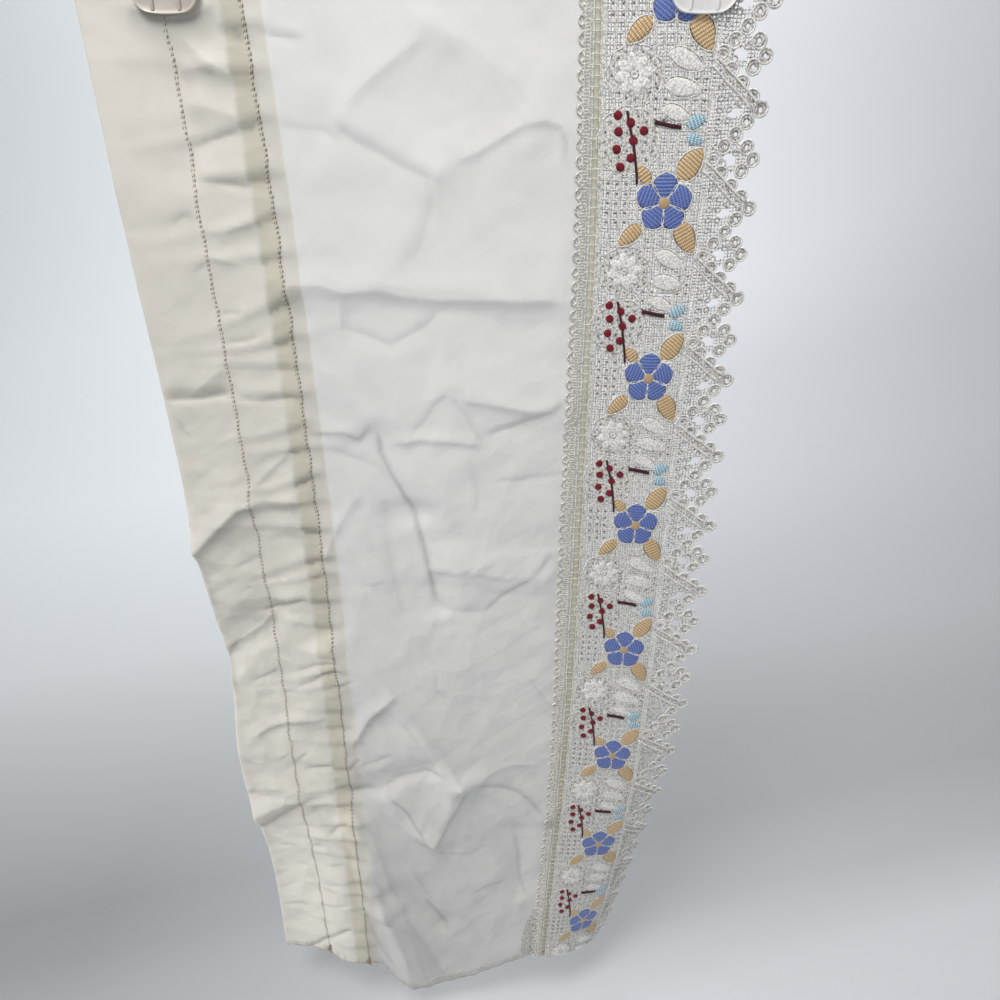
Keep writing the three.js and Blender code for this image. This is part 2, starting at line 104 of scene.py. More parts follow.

# %% [markdown]
# ## Creases and folds
#
# The voile was folded for storage and then crumpled, so it shows two kinds of relief. Broad creases are
# low ridges, and the solids have them too. Folds pressed sharp are thin lines, where one side turns away
# from the light, and only the looks have them. A cloth simulation wouldn't put them in these places, so
# both are lists that were read off, one fold a row.

# %% Broad creases
# Each row: where the ridge starts and ends, how far it falls off on its left and right, and its rise
CREASES = [
    (-67, 85, -3, 34, 40, 26, 1.8),
    (-3, 34, 66, 80, 45, 30, 1.8),
    (-68, 89, -5, 124, 26, 45, 2.2),
    (-5, 124, 88, 88, 26, 42, 2.4),
    (-3, 126, -31, 182, 24, 30, 1.6),
    (-114, 196, 90, 206, 55, 18, 3.2),
    (-5, 277, 93, 292, 40, 18, 3.5),
    (-62, 318, -30, 390, 22, 45, -6),
    (-30, 390, -12, 480, 22, 45, -6),
    (-19, 443, 78, 443, 30, 18, 5),
    (-110, 520, 8, 688, 42, 26, 8),
    (8, 688, -27, 766, 22, 34, 8),
    (-72, 700, -27, 766, 26, 20, 6),
    (-110, 698, -28, 672, 22, 20, -5),
    (-106, 735, -80, 869, 34, 24, 7),
    (-80, 869, -60, 1004, 30, 24, 8),
    (-76, 842, -22, 905, 26, 26, -6),
    (24, 684, 86, 735, 36, 20, 6),
    (58, 754, 66, 850, 18, 26, -4),
    (-223, 423, -170, 377, 34, 22, 6),
    (-223, 423, -190, 480, 24, 26, 5),
    (-216, 550, -160, 480, 26, 20, -6),
    (-216, 748, -160, 705, 26, 20, 6),
    (-174, 26, -176, 120, 14, 22, -4),
]
print(len(CREASES), "broad creases")

# %% Sharp folds of the panel
# Each row: points along the fold, its reach on its left and right, its rise, and its shade on each side
PANEL_FOLDS = [
    (((-62, 76), (-48, 64), (-34, 54), (-24, 47), (-10, 38)), 14, 7, 0.8, 0, 0.25),
    (((-2, 27), (7, 35), (20, 40), (34, 52), (50, 61), (62, 76), (70, 81)), 8, 12, 1.0, 0.12, 0),
    (((-70, 90), (-58, 98), (-41, 106), (-27, 114), (-14, 119), (-3, 124)), 7, 12, -1.2, 0.3, 0),
    (((15, 111), (29, 106), (43, 98), (60, 89), (74, 87), (85, 90), (89, 101), (87, 111)),
     10, 4, 1.0, 0, 0.45),
    (((-10, 120), (-7, 140), (-12, 157), (-17, 171), (-27, 179)), 5, 6, -0.8, 0.2, 0),
    (((-120, 197), (-92, 197), (-74, 202), (-47, 200), (-32, 204), (-2, 207), (85, 207)),
     22, 8, 2.0, 0, 0.45),
    (((-79, 230), (-77, 204)), 4, 8, 0.8, 0, 0.3),
    (((-76, 230), (-61, 233), (-42, 241), (-14, 226), (-3, 216)), 6, 12, -1.0, 0.3, 0),
    (((-114, 34), (-99, 36), (-88, 37)), 3, 4, -1.0, 0.5, 0.2),
    (((-107, 90), (-78, 92), (-70, 98)), 5, 6, -0.6, 0.25, 0),
    (((-108, 313), (-83, 313), (-73, 319), (-66, 310)), 8, 4, 1.5, 0.2, 0.6),
    (((-57, 317), (-56, 332), (-49, 350), (-40, 368), (-30, 393), (-24, 416), (-19, 443), (-15, 474)),
     5, 4, -1.8, 0.5, 0.8),
    (((-43, 323), (-22, 319), (2, 320), (27, 322)), 10, 5, 1.8, 0, 0.4),
    (((-28, 313), (-18, 302), (-9, 289), (2, 280)), 4, 10, -1.0, 0.3, 0),
    (((2, 280), (13, 294), (27, 319)), 6, 10, 1.2, 0.3, 0),
    (((13, 284), (43, 289), (79, 295), (93, 288)), 12, 6, 1.5, 0, 0.35),
    (((33, 313), (51, 307), (67, 300), (83, 294), (95, 287)), 5, 12, -1.6, 0.6, 0),
    (((39, 354), (60, 353), (93, 348)), 5, 6, -0.8, 0.3, 0),
    (((20, 344), (24, 359), (24, 373), (21, 384)), 4, 4, -0.6, 0.2, 0.2),
    (((-111, 433), (-102, 411), (-89, 387), (-75, 368)), 10, 5, 1.4, 0, 0.2),
    (((-97, 328), (-77, 337), (-58, 345), (-51, 356)), 6, 12, -1.0, 0.25, 0),
    (((-14, 445), (8, 446), (27, 444), (47, 448), (70, 445)), 4, 4, -0.7, 0.2, 0.3),
    (((8, 444), (20, 435)), 4, 4, -0.6, 0.4, 0.4),
    (((25, 441), (38, 433)), 4, 4, -0.6, 0.4, 0.4),
    (((-16, 471), (-10, 482), (11, 483), (31, 483)), 7, 9, -1.2, 0.25, 0),
    (((30, 483), (43, 468), (61, 453), (74, 444), (88, 424)), 4, 8, -1.4, 0.45, 0.2),
    (((-82, 457), (-71, 457), (-58, 453)), 3, 3, -0.4, 0.3, 0),
    (((-56, 373), (-56, 416), (-50, 461), (-48, 482)), 8, 4, -1.0, 0.15, 0),
    (((-54, 573), (-67, 584), (-83, 605), (-100, 635)), 8, 14, 3.0, 0.8, 0),
    (((-77, 539), (-66, 558), (-54, 574)), 5, 6, 1.2, 0.1, 0),
    (((-54, 574), (-35, 610), (-16, 639), (1, 674), (9, 689)), 8, 18, 1.5, 0.12, 0),
    (((-54, 598), (-31, 639), (-20, 674)), 10, 8, 1.0, 0, 0.25),
    (((-109, 702), (-80, 696), (-59, 684), (-33, 676), (-15, 676)), 7, 6, -2.0, 0.6, 0.3),
    (((-109, 670), (-97, 655)), 3, 3, -1.0, 0.6, 0.3),
    (((-96, 664), (-79, 658), (-65, 651)), 4, 5, -1.0, 0.45, 0),
    (((-70, 701), (-55, 716), (-41, 743), (-29, 767)), 20, 5, 2.0, 0, 0.65),
    (((-28, 767), (-15, 747), (-4, 723), (8, 698), (12, 689)), 18, 6, 2.0, 0, 0.5),
    (((17, 689), (43, 692), (63, 701), (76, 715), (87, 733)), 6, 8, -1.4, 0.6, 0.1),
    (((17, 689), (33, 673), (53, 666), (78, 665)), 8, 5, 1.2, 0, 0.25),
    (((59, 766), (63, 796), (65, 829), (73, 856)), 3, 4, -1.0, 0.4, 0.4),
    (((14, 853), (30, 842), (48, 837)), 5, 6, -1.0, 0.4, 0.3),
    (((-117, 712), (-101, 733), (-89, 754), (-81, 799), (-75, 842), (-68, 861)), 7, 14, 1.5, 0.3, 0),
    (((-66, 864), (-59, 902), (-52, 944), (-40, 1007)), 5, 8, 1.5, 0.4, 0),
    (((-40, 861), (-28, 885), (-17, 910)), 4, 5, -1.6, 0.6, 0.5),
    (((-54, 808), (-43, 837), (-33, 861)), 6, 12, 1.0, 0.3, 0),
    (((-43, 784), (-16, 787), (11, 790)), 5, 3, 0.8, 0, 0.25),
    (((-17, 553), (-17, 572), (-6, 584)), 3, 3, -0.7, 0.25, 0.2),
    (((71, 560), (81, 574), (90, 591)), 3, 4, -0.7, 0.3, 0),
    (((-104, 902), (-95, 927), (-83, 962)), 5, 5, 1.5, 0.3, 0),
]
print(len(PANEL_FOLDS), "folds of the panel")

# %% Sharp folds of the header, and two wide ones at the panel's foot
HEADER_FOLDS = [
    (((-202, 20), (-186, 25), (-172, 27), (-155, 25), (-144, 18)), 3, 16, -0.5, 1.0, 1.0),
    (((-176, 30), (-170, 36), (-155, 50), (-147, 55)), 14, 6, 2.5, 0, 0.35),
    (((-176, 57), (-159, 55), (-144, 58), (-121, 61)), 10, 8, 1.6, 0, 0.5),
    (((-146, 29), (-136, 31), (-126, 40)), 6, 7, -2.5, 0.9, 0.9),
    (((-172, 76), (-155, 79), (-137, 84)), 10, 12, 1.4, 0, 0.25),
    (((-170, 125), (-153, 126), (-134, 129)), 6, 4, -1.5, 0.45, 0.3),
    (((-174, 105), (-159, 98), (-141, 93)), 10, 8, -1.2, 0.2, 0),
    (((-166, 164), (-148, 156), (-133, 152)), 8, 8, 1.2, 0, 0.25),
    (((-175, 175), (-163, 179), (-151, 182)), 5, 4, 0.8, 0, 0.25),
    (((-193, 152), (-185, 147), (-176, 150)), 4, 5, -1.2, 0.3, 0.4),
    (((-184, 187), (-178, 183), (-173, 180)), 4, 5, -1.2, 0.3, 0.45),
    (((-172, 219), (-164, 217), (-153, 217)), 4, 4, -1.0, 0.45, 0.2),
    (((-170, 240), (-154, 239), (-144, 235)), 5, 4, -1.1, 0.4, 0.2),
    (((-223, 286), (-197, 285), (-172, 281)), 10, 3, -2.6, 0.8, 0),
    (((-206, 284), (-191, 273), (-173, 259)), 10, 10, 1.5, 0, 0.3),
    (((-218, 303), (-215, 313), (-211, 317)), 4, 4, -1.0, 0.5, 0.4),
    (((-166, 364), (-149, 347), (-130, 330)), 6, 4, 1.2, 0, 0.35),
    (((-165, 285), (-147, 287), (-123, 284)), 6, 4, -1.2, 0.4, 0.2),
    (((-222, 423), (-204, 405), (-179, 381), (-159, 375), (-126, 375)), 16, 10, 3.0, 0, 0.8),
    (((-221, 426), (-218, 448), (-216, 481)), 6, 3, -0.5, 0.5, 0.5),
    (((-195, 441), (-178, 434), (-166, 427)), 4, 4, -0.8, 0.35, 0.2),
    (((-155, 411), (-143, 407), (-127, 411)), 5, 5, -0.8, 0.3, 0.4),
    (((-186, 463), (-176, 455), (-148, 449)), 5, 5, -0.7, 0.2, 0.25),
    (((-174, 487), (-152, 479), (-132, 471)), 5, 4, -1.8, 0.7, 0.3),
    (((-215, 531), (-195, 517), (-176, 502), (-162, 486)), 12, 7, 2.5, 0.2, 0.85),
    (((-215, 531), (-213, 554), (-212, 578)), 5, 3, -0.5, 0.4, 0.4),
    (((-197, 568), (-181, 560), (-165, 549)), 4, 5, -1.0, 0.4, 0.1),
    (((-148, 550), (-131, 543), (-110, 537)), 4, 4, -1.2, 0.55, 0.2),
    (((-164, 577), (-138, 563), (-122, 551), (-107, 546)), 4, 5, -0.8, 0.35, 0),
    (((-113, 568), (-93, 555)), 3, 4, -1.0, 0.5, 0.2),
    (((-199, 631), (-184, 619), (-167, 611), (-127, 605)), 10, 5, 1.8, 0.1, 0.65),
    (((-220, 653), (-212, 663), (-196, 667)), 5, 4, 0.8, 0, 0.25),
    (((-179, 662), (-167, 651)), 3, 3, -0.8, 0.4, 0.3),
    (((-161, 661), (-148, 647)), 3, 3, -0.8, 0.4, 0.3),
    (((-153, 671), (-138, 666), (-120, 662)), 4, 4, -1.2, 0.5, 0.3),
    (((-219, 702), (-203, 700), (-177, 696)), 5, 9, 1.2, 0, 0.45),
    (((-218, 768), (-200, 753), (-180, 733), (-162, 715)), 8, 10, -2.0, 0.5, 0),
    (((-164, 715), (-151, 709), (-140, 707)), 4, 4, -1.2, 0.6, 0.4),
    (((-137, 760), (-123, 743), (-111, 734)), 4, 4, -1.0, 0.45, 0.2),
    (((-195, 793), (-174, 786)), 4, 4, -0.8, 0.3, 0.2),
    (((-162, 782), (-143, 777)), 3, 3, -0.8, 0.5, 0.3),
    (((-181, 819), (-167, 819)), 3, 3, -0.8, 0.4, 0.3),
    (((-147, 810), (-125, 802)), 3, 3, -0.8, 0.4, 0.2),
    (((-155, 842), (-128, 835)), 3, 3, -0.6, 0.3, 0),
    (((-206, 895), (-175, 887)), 4, 4, -0.8, 0.3, 0.1),
    (((-160, 880), (-124, 863)), 4, 4, -0.8, 0.35, 0.1),
    (((-184, 964), (-155, 934), (-137, 915), (-125, 902)), 5, 4, -2.0, 0.8, 0.4),
]
FOOT_FOLDS = [
    (((-62, 880), (-40, 932), (-22, 985)), 6, 34, 3.0, 0, 0.45),
    (((-96, 800), (-86, 850), (-70, 905), (-62, 960)), 5, 16, 2.0, 0.1, 0.3),
]
FOLDS = PANEL_FOLDS + HEADER_FOLDS + FOOT_FOLDS
print(len(FOLDS), "sharp folds in all")

# %% [markdown]
# ## From the lines to a surface
#
# A station says how far across a point lies: 0 is the fold, 6 the lace tips, and the whole numbers
# between are the other lines. `across_at` finds where a station hangs, and `curl_at` how far it curls to
# the rear. The work is done with numpy on all points of a piece at once, because a lace has very many.

# %% Places across
def smooth(value):
    """An even step from 0 to 1 with soft ends."""
    s = np.clip(value, 0, 1)
    return s * s * (3 - 2 * s)


def line_at(column, down):
    """A smooth curve through one column of the table of lines."""
    downs = LINES[:, 0]
    places = LINES[:, LINE_COLUMNS.index(column)]
    last = len(downs) - 1
    before = np.maximum(np.arange(last + 1) - 1, 0)
    after = np.minimum(np.arange(last + 1) + 1, last)
    slopes = (places[after] - places[before]) / (downs[after] - downs[before])
    i = np.clip(np.searchsorted(downs, down) - 1, 0, last - 1)
    span = downs[i + 1] - downs[i]
    u = (down - downs[i]) / span
    from_start = (2 * u**3 - 3 * u**2 + 1) * places[i] + (u**3 - 2 * u**2 + u) * span * slopes[i]
    to_end = (3 * u**2 - 2 * u**3) * places[i + 1] + (u**3 - u**2) * span * slopes[i + 1]
    return from_start + to_end


def across_at(station, down):
    """Where a station hangs, along X."""
    lines = np.stack([line_at(name, down) for name in STATIONS])
    i = np.clip(np.floor(station).astype(int), 0, len(STATIONS) - 2)
    each = np.arange(len(down))
    return lines[i, each] + (lines[i + 1, each] - lines[i, each]) * (station - i)


top = np.zeros(len(STATIONS))
print("at the top the lines hang at", across_at(np.arange(float(len(STATIONS))), top).round())

# %% Places to the rear
FIELD_CURL = 1.5


def curl_at(station, down):
    """How far the header and the lace curl to the rear."""
    header = line_at("fold_back", down) * smooth((2 - station) / 2)
    base = line_at("base_back", down)
    field = base * np.clip(station - 4, 0, 1) ** FIELD_CURL
    points = base + (line_at("tip_back", down) - base) * (station - 5)
    return np.select([station < 2, station <= 5], [header, field], points)


print("the tips' foot curls back", curl_at(np.array([6.0]), LINES[-1:, 0]).round(), "mm")

# %% Height of one crease, and the calm below the clips
CREASE_FADE = 18
JAW_CALM = 8, 6
CALM_REACH = 30


def crease_height(x, down, x1, d1, x2, d2, left, right, rise, fade=CREASE_FADE):
    """A ridge from one point to another that falls off in a straight slope on each side."""
    length = math.hypot(x2 - x1, d2 - d1)
    along = ((x - x1) * (x2 - x1) + (down - d1) * (d2 - d1)) / length
    aside = ((x - x1) * (d2 - d1) - (down - d1) * (x2 - x1)) / length
    reach = np.where(aside > 0, left, right)
    past = np.maximum(0, np.maximum(-along, along - length))
    return rise * smooth(1 - past / fade) * np.maximum(0, 1 - np.abs(aside) / reach)


def clip_calm(x, down):
    """The jaws hold the cloth flat."""
    calm = np.ones_like(x)
    for centre in CLIP_CENTRES:
        off_x = np.maximum(0, np.abs(x - centre) - CLIP_WIDTH / 2 - JAW_CALM[0])
        off_down = np.maximum(0, down - CLIP_GRIP - JAW_CALM[1])
        calm = np.minimum(calm, smooth(np.hypot(off_x, off_down) / CALM_REACH))
    return calm


print("the cloth is free from", CLIP_GRIP + JAW_CALM[1] + CALM_REACH, "mm down")

# %% [markdown]
# ## Puckers
#
# The two stitch rows are sewn through two and three layers, and the thread has drawn the cloth up. Short
# puckers start at the second row, lean down to the left and die out in the header. A wave texture would
# space them evenly, so each has its own place in a list. Just left of the second row, where three layers lie
# together, the shade between the puckers shows as darker blocks: `painted_pocket_shade` paints that shade
# for the finish to read.

# %% Puckers of the header
PUCKER_DOWNS = np.array([
    -20, 8, 33, 60, 89, 125, 150, 179, 211, 239, 262, 285, 309, 329, 355, 379, 405, 432, 446, 475,
    504, 531, 548, 566, 600, 617, 640, 670, 693, 718, 742, 765, 793, 828, 850, 871, 910, 935, 965, 1000,
], float)
PUCKER_RISE = 2.3
PUCKER_SKEW = 2.3
PUCKER_LEAN_REACH = 90
# Two rows each: places and the strength there. Shares run from row 1 at 0 to row 2 at 1
PUCKER_ACROSS = (-1.2, -0.5, 0.0, 0.3, 0.75, 1.0, 1.12, 1.4), (0.1, 0.25, 0.45, 0.8, 1.0, 0.9, 0.7, 0.0)
PUCKER_FADE = (760, 880), (1.0, 0.55)
dice = random.Random(11)
pucker_weights = np.array([dice.uniform(0.55, 1.2) for _ in PUCKER_DOWNS])
pucker_leans = np.array([dice.uniform(-0.15, 0.5) for _ in PUCKER_DOWNS])


def pucker_phase(x, down):
    """Where a point is between two puckers, that pucker's weight, and its share of the way to row 2."""
    row_1, row_2 = line_at("row_1", down), line_at("row_2", down)
    left_of_row = row_2 - x
    lean = np.interp(down, PUCKER_DOWNS, pucker_leans)
    leant = down - lean * np.clip(left_of_row, 0, PUCKER_LEAN_REACH)
    count = np.interp(leant, PUCKER_DOWNS, np.arange(len(PUCKER_DOWNS)))
    weight = np.interp(count, np.arange(len(PUCKER_DOWNS)), pucker_weights)
    return count - np.floor(count), weight, (x - row_1) / (row_2 - row_1)


def pucker_height(x, down):
    """Ridges that rise slowly and fall steeply, strongest beside the second row."""
    part, weight, share = pucker_phase(x, down)
    wave = 0.5 - 0.5 * np.cos(2 * math.pi * part**PUCKER_SKEW)
    strength = np.interp(share, *PUCKER_ACROSS) * np.interp(down, *PUCKER_FADE)
    return PUCKER_RISE * wave * weight * strength


print(len(PUCKER_DOWNS), "puckers")

# %% Painted shade in blocks between the puckers
# Two rows each: places and the shade there, from row 1 to row 2, down the cloth, and down one block
POCKET_ACROSS = (0.70, 0.74, 1.0, 1.04), (0, 1, 1, 0)
POCKET_FADE = (620, 740), (1.0, 0.3)
BLOCK_SHAPE = (0, 0.3, 0.38, 0.7, 0.97, 1), (0.1, 0, 0.42, 0.55, 1, 0.8)
BLOCK_GAIN, BLOCK_LEAST = 1.4, 0.2


def painted_pocket_shade(x, down):
    """Painted shade beside the second row: blocks between the puckers, darkest at their foot."""
    part, weight, share = pucker_phase(x, down)
    block = np.interp(part, *BLOCK_SHAPE) * np.clip(1 + BLOCK_GAIN * (weight - 1), BLOCK_LEAST, 1)
    return block * np.interp(share, *POCKET_ACROSS) * np.interp(down, *POCKET_FADE)


block_foot = np.array([-118.0]), np.array([404.0])
print("beside row 2 a block's foot has a shade of", painted_pocket_shade(*block_foot).round(2))

# %% [markdown]
# ## Folds pressed sharp
#
# A sharp fold could be modelled as a crease in the mesh, but its slopes are so thin that no lamp would
# show them alone. So `fold_field` gives two things for each point: the rise that the mesh takes, and a
# painted shade that the finish takes. Both fade towards the fold's ends, and the painted shade spills a
# little over the crest, so that its edge stays soft.

# %% Distance to a sharp fold
FOLD_END_STRENGTH = 0.35
FOLD_TAPER = 9.0


def beside_fold(x, down, points):
    """For each point the distance to a fold, positive on its left, and a strength that fades at its ends."""
    nearest = np.full_like(x, 1e6)
    aside = np.zeros_like(x)
    placed = np.zeros_like(x)
    start_at = 0.0
    for (x1, d1), (x2, d2) in zip(points, points[1:]):
        length = math.hypot(x2 - x1, d2 - d1)
        along = np.clip(((x - x1) * (x2 - x1) + (down - d1) * (d2 - d1)) / length, 0, length)
        off_x = x - x1 - (x2 - x1) * along / length
        off_down = down - d1 - (d2 - d1) * along / length
        off = np.hypot(off_x, off_down)
        closer = off < nearest
        side = np.where(off_x * (d2 - d1) - off_down * (x2 - x1) >= 0, 1, -1)
        nearest = np.where(closer, off, nearest)
        aside = np.where(closer, off * side, aside)
        placed = np.where(closer, start_at + along, placed)
        start_at += length
    from_end = np.minimum(placed, start_at - placed)
    return aside, np.clip(FOLD_END_STRENGTH + from_end / FOLD_TAPER, 0, 1)


print("a fold has its full strength", round((1 - FOLD_END_STRENGTH) * FOLD_TAPER, 1), "mm from its ends")

# %% Rise and shade of the sharp folds
SHADE_SPILL = 2.2


def fold_field(x, down):
    """The rise and the shade that the sharp folds give, and how far off the nearest one is."""
    rise, shade, distance = np.zeros_like(x), np.zeros_like(x), np.full_like(x, 1e6)
    for points, left, right, fold_rise, shade_left, shade_right in FOLDS:
        xs, downs = zip(*points)
        margin = max(left, right) + 1
        near = (x > min(xs) - margin) & (x < max(xs) + margin)
        near &= (down > min(downs) - margin) & (down < max(downs) + margin)
        aside, strength = beside_fold(x[near], down[near], points)
        on_left = aside >= 0
        share = np.maximum(0, 1 - np.abs(aside) / np.where(on_left, left, right)) * strength
        rise[near] += fold_rise * share
        shade_there = share * np.where(on_left, shade_left, shade_right)
        spill = (1 - np.abs(aside) / SHADE_SPILL) * strength * max(shade_left, shade_right)
        shade[near] = np.maximum(shade[near], np.maximum(shade_there, spill))
        distance[near] = np.minimum(distance[near], np.abs(aside))
    return rise, shade, distance


middle_of_first = np.array([FOLDS[0][0][2]], float).T
print("the first fold rises", fold_field(*middle_of_first)[0].round(2), "mm at its middle")

# %% [markdown]
# ## Fine creases and crumple
#
# Between the folds the voile is never flat. Fine creases are strewn over it from a seeded list, so each
# run gives the same cloth. Below them lies a crumple: flat slopes that meet in ridges, which is what
# cloth does when it is pressed in a heap. The slopes come from the distance to scattered points, counted
# along X and down rather than straight, because that gives angular facets.

# %% Fine creases
def strew_creases(count, *ranges):
    """Short creases: each range is for the start's X and depth, turn, length, left, right and rise."""
    strewn = []
    for _ in range(count):
        x1, d1, turn, length, left, right, rise = (dice.uniform(*limits) for limits in ranges)
        strewn.append((x1, d1, x1 + length * math.cos(turn), d1 + length * math.sin(turn), left, right, rise))
    return strewn


OVER_PANEL = (-100, 85), (30, 960), (0, math.pi), (25, 80), (8, 20), (8, 20), (-0.7, 0.7)
OVER_HEADER = (-225, -170), (40, 940), (-0.5, 0.5), (20, 50), (8, 18), (6, 12), (-0.8, 1.2)
FINE_FADE = 12
fine_creases = strew_creases(70, *OVER_PANEL) + strew_creases(26, *OVER_HEADER)
print(len(fine_creases), "fine creases")

# %% Crumple
# Each row: the cell's size and the rise
CRUMPLE_CELLS = ((58, 2.2), (25, 0.4))
CRUMPLE_STRENGTH = (0, 230, 420, 900), (0.3, 0.45, 1.0, 0.8)
CRUMPLE_LEAN = 0.35
CRUMPLE_SLOPE = 0.75


def jitter(column, row, seed):
    """A fixed scatter from 0 to 1 for each cell of a grid."""
    scatter = np.sin(column * 127.1 + row * 311.7 + seed) * 43758.5453
    return scatter - np.floor(scatter)


def crumple(x, down, cell, seed):
    """Flat slopes that fall to scattered low points and meet in sharp ridges, from 0 to about 1."""
    nearest = np.full_like(x, 3.0)
    for column_step in (-1, 0, 1):
        for row_step in (-1, 0, 1):
            column = np.floor(x / cell) + column_step
            row = np.floor(down / cell) + row_step
            off_x = x / cell - column - jitter(column, row, seed)
            off_down = down / cell - row - jitter(column, row, seed + 57)
            nearest = np.minimum(nearest, CRUMPLE_SLOPE * (np.abs(off_x) + np.abs(off_down)))
    return nearest


print(len(CRUMPLE_CELLS), "sizes of crumple, the largest", CRUMPLE_CELLS[0][0], "mm across")

# %% [markdown]
# ## How the cloth hangs
#
# `relief` adds up all that makes the cloth uneven, as a height towards the viewer. A slow wave is its
# drape. Creases are bent a little first, so that none is drawn with a ruler. `hang` then takes a station
# and a share of the way down, and returns the place where that bit of cloth hangs. Cloth, lace and stitches
# all go through it, so none of them comes loose from the others.

# %% Relief of the cloth
VOILE_EDGE = 100
VOILE_EDGE_FADE = 15
DRAPE = 3.5
DRAPE_FADE = (0, 400), (0.4, 1)
# Its waves across and down: the length over a full turn, and where each starts
DRAPE_ACROSS, DRAPE_DOWN = (62, 0.6), (210, 0.4)
# Each bend: how far it moves a crease, its wave length over a full turn, and where it starts
BENDS_OF_X = (3.5, 27, 1), (1.5, 9, 0)
BENDS_OF_DOWN = (4.5, 33, 2), (1.8, 11, 0)


def bend(along, bends):
    return sum(size * np.sin(along / length + start) for size, length, start in bends)


def relief(x, down):
    """The cloth's height over its smooth shape."""
    drape_across = np.sin(x / DRAPE_ACROSS[0] + DRAPE_ACROSS[1])
    drape_down = np.sin(down / DRAPE_DOWN[0] + DRAPE_DOWN[1])
    rise = DRAPE * drape_across * drape_down * np.interp(down, *DRAPE_FADE)
    bent_x = x + bend(down, BENDS_OF_X)
    bent_down = down + bend(x, BENDS_OF_DOWN)
    for crease in CREASES:
        rise = rise + crease_height(bent_x, bent_down, *crease)
    on_voile = x < VOILE_EDGE
    voile_x, voile_down = x[on_voile], down[on_voile]
    detail = pucker_height(voile_x, voile_down) + fold_field(voile_x, voile_down)[0]
    for crease in fine_creases:
        detail = detail + crease_height(bent_x[on_voile], bent_down[on_voile], *crease, fade=FINE_FADE)
    creased = np.interp(voile_down, *CRUMPLE_STRENGTH)
    for cell, cell_rise in CRUMPLE_CELLS:
        leant_x = voile_x + CRUMPLE_LEAN * voile_down
        detail += creased * cell_rise * crumple(leant_x, voile_down, cell, cell)
    rise[on_voile] += detail * smooth((VOILE_EDGE - voile_x) / VOILE_EDGE_FADE)
    return rise * clip_calm(x, down)


print("at the middle of the panel the relief is", relief(np.array([0.0]), np.array([480.0])).round(1), "mm")


# %% Hanging
def hang(station, share, shift=0.0):
    """Where points of the cloth hang, in millimetres."""
    station, share = np.broadcast_arrays(np.asarray(station, float), np.asarray(share, float))
    down = share * np.interp(station, END_STATIONS, END_DROPS)
    x = across_at(station, down) + shift
    y = curl_at(station, down) - relief(x, down)
    return np.stack([x, y, -down], axis=-1)


print("the fold's foot hangs at", hang([0.0], [1.0]).round(1))

# %% [markdown]
# ## Camera
#
# The picture was taken from a little above, close by, with a phone's wide lens. Close lenses make what is
# near look large, so the upper end of the cloth looks much wider than its foot. Place, tilt and lens
# together give that taper, and a longer lens from further off wouldn't.

# %% Camera
EYE = Vector((0.043, -0.582, -0.110))
PITCH_DOWN = math.radians(24.3)
LENS_MM = 27.18
camera_data = bpy.data.cameras.new("camera")
camera_data.lens = LENS_MM
camera_data.sensor_width = 36
camera_data.clip_start = 0.02
camera_data.clip_end = 50
camera = bpy.data.objects.new("camera", camera_data)
camera.location = EYE
camera.rotation_euler = (math.radians(90) - PITCH_DOWN, 0, 0)
bpy.context.scene.collection.objects.link(camera)
bpy.context.scene.camera = camera
bpy.context.scene.view_settings.view_transform = "Standard"
print("camera looks down", round(math.degrees(PITCH_DOWN), 1), "degrees")

# %% [markdown]
# ## Materials in a few words
#
# Every finish below starts with Blender's Principled shader, and most are a colour multiplied by some
# shade, with a bump on top. So those steps get short helpers here, and each finish reads like a recipe.

# %% Materials and nodes
def new_material(name, color, roughness):
    material = bpy.data.materials.new(name)
    material.use_nodes = True
    shader = material.node_tree.nodes["Principled BSDF"]
    shader.inputs["Base Color"].default_value = (*color, 1)
    shader.inputs["Roughness"].default_value = roughness
    return material, material.node_tree, shader


def add_node(tree, kind, **settings):
    """Adds a node. A setting that isn't one of the node's own is the name of an input."""
    node = tree.nodes.new(kind)
    for name, value in settings.items():
        if hasattr(node, name):
            setattr(node, name, value)
        else:
            node.inputs[name.replace("_", " ")].default_value = value
    return node


# %% Ramps, shades and bumps
def set_ramp(ramp, stops):
    """Gives a colour ramp its stops, each a position and a colour."""
    while len(ramp.elements) < len(stops):
        ramp.elements.new(1.0)
    for element, (position, _) in zip(ramp.elements, stops):
        element.position = position
    for element, (_, color) in zip(ramp.elements, stops):
        element.color = (*color, 1)


def shade_color(tree, shader, color, shade):
    """The shader's colour: a colour, or a socket that gives one, multiplied by a shade's socket."""
    tint = add_node(tree, "ShaderNodeMix", data_type="RGBA", blend_type="MULTIPLY")
    tint.inputs["Factor"].default_value = 1.0
    if isinstance(color, bpy.types.NodeSocket):
        tree.links.new(color, tint.inputs["A"])
    else:
        tint.inputs["A"].default_value = (*color, 1)
    tree.links.new(shade, tint.inputs["B"])
    tree.links.new(tint.outputs["Result"], shader.inputs["Base Color"])


def add_bump(tree, shader, height, strength, distance, invert=False, over=None):
    """A bump from a height's socket, over another bump where one is given."""
    bump = add_node(tree, "ShaderNodeBump", Strength=strength, Distance=distance)
    bump.invert = invert
    tree.links.new(height, bump.inputs["Height"])
    if over:
        tree.links.new(over.outputs["Normal"], bump.inputs["Normal"])
    tree.links.new(bump.outputs["Normal"], shader.inputs["Normal"])
    return bump


# %% [markdown]
# ## Floor, wall and light
#
# The room is plain: a pale floor that sweeps up into a pale wall. Its profile is a line with a quarter
# bend, pulled sideways, so there is no corner and every view has a calm background. Light and shade are
# painted on the floor: it runs from pale to a grey band of painted shadow and back along a slanting line,
# and each side of the room has its own ramp. Soft lamps hang above and in front, because the upper side of
# each fold is the bright one.

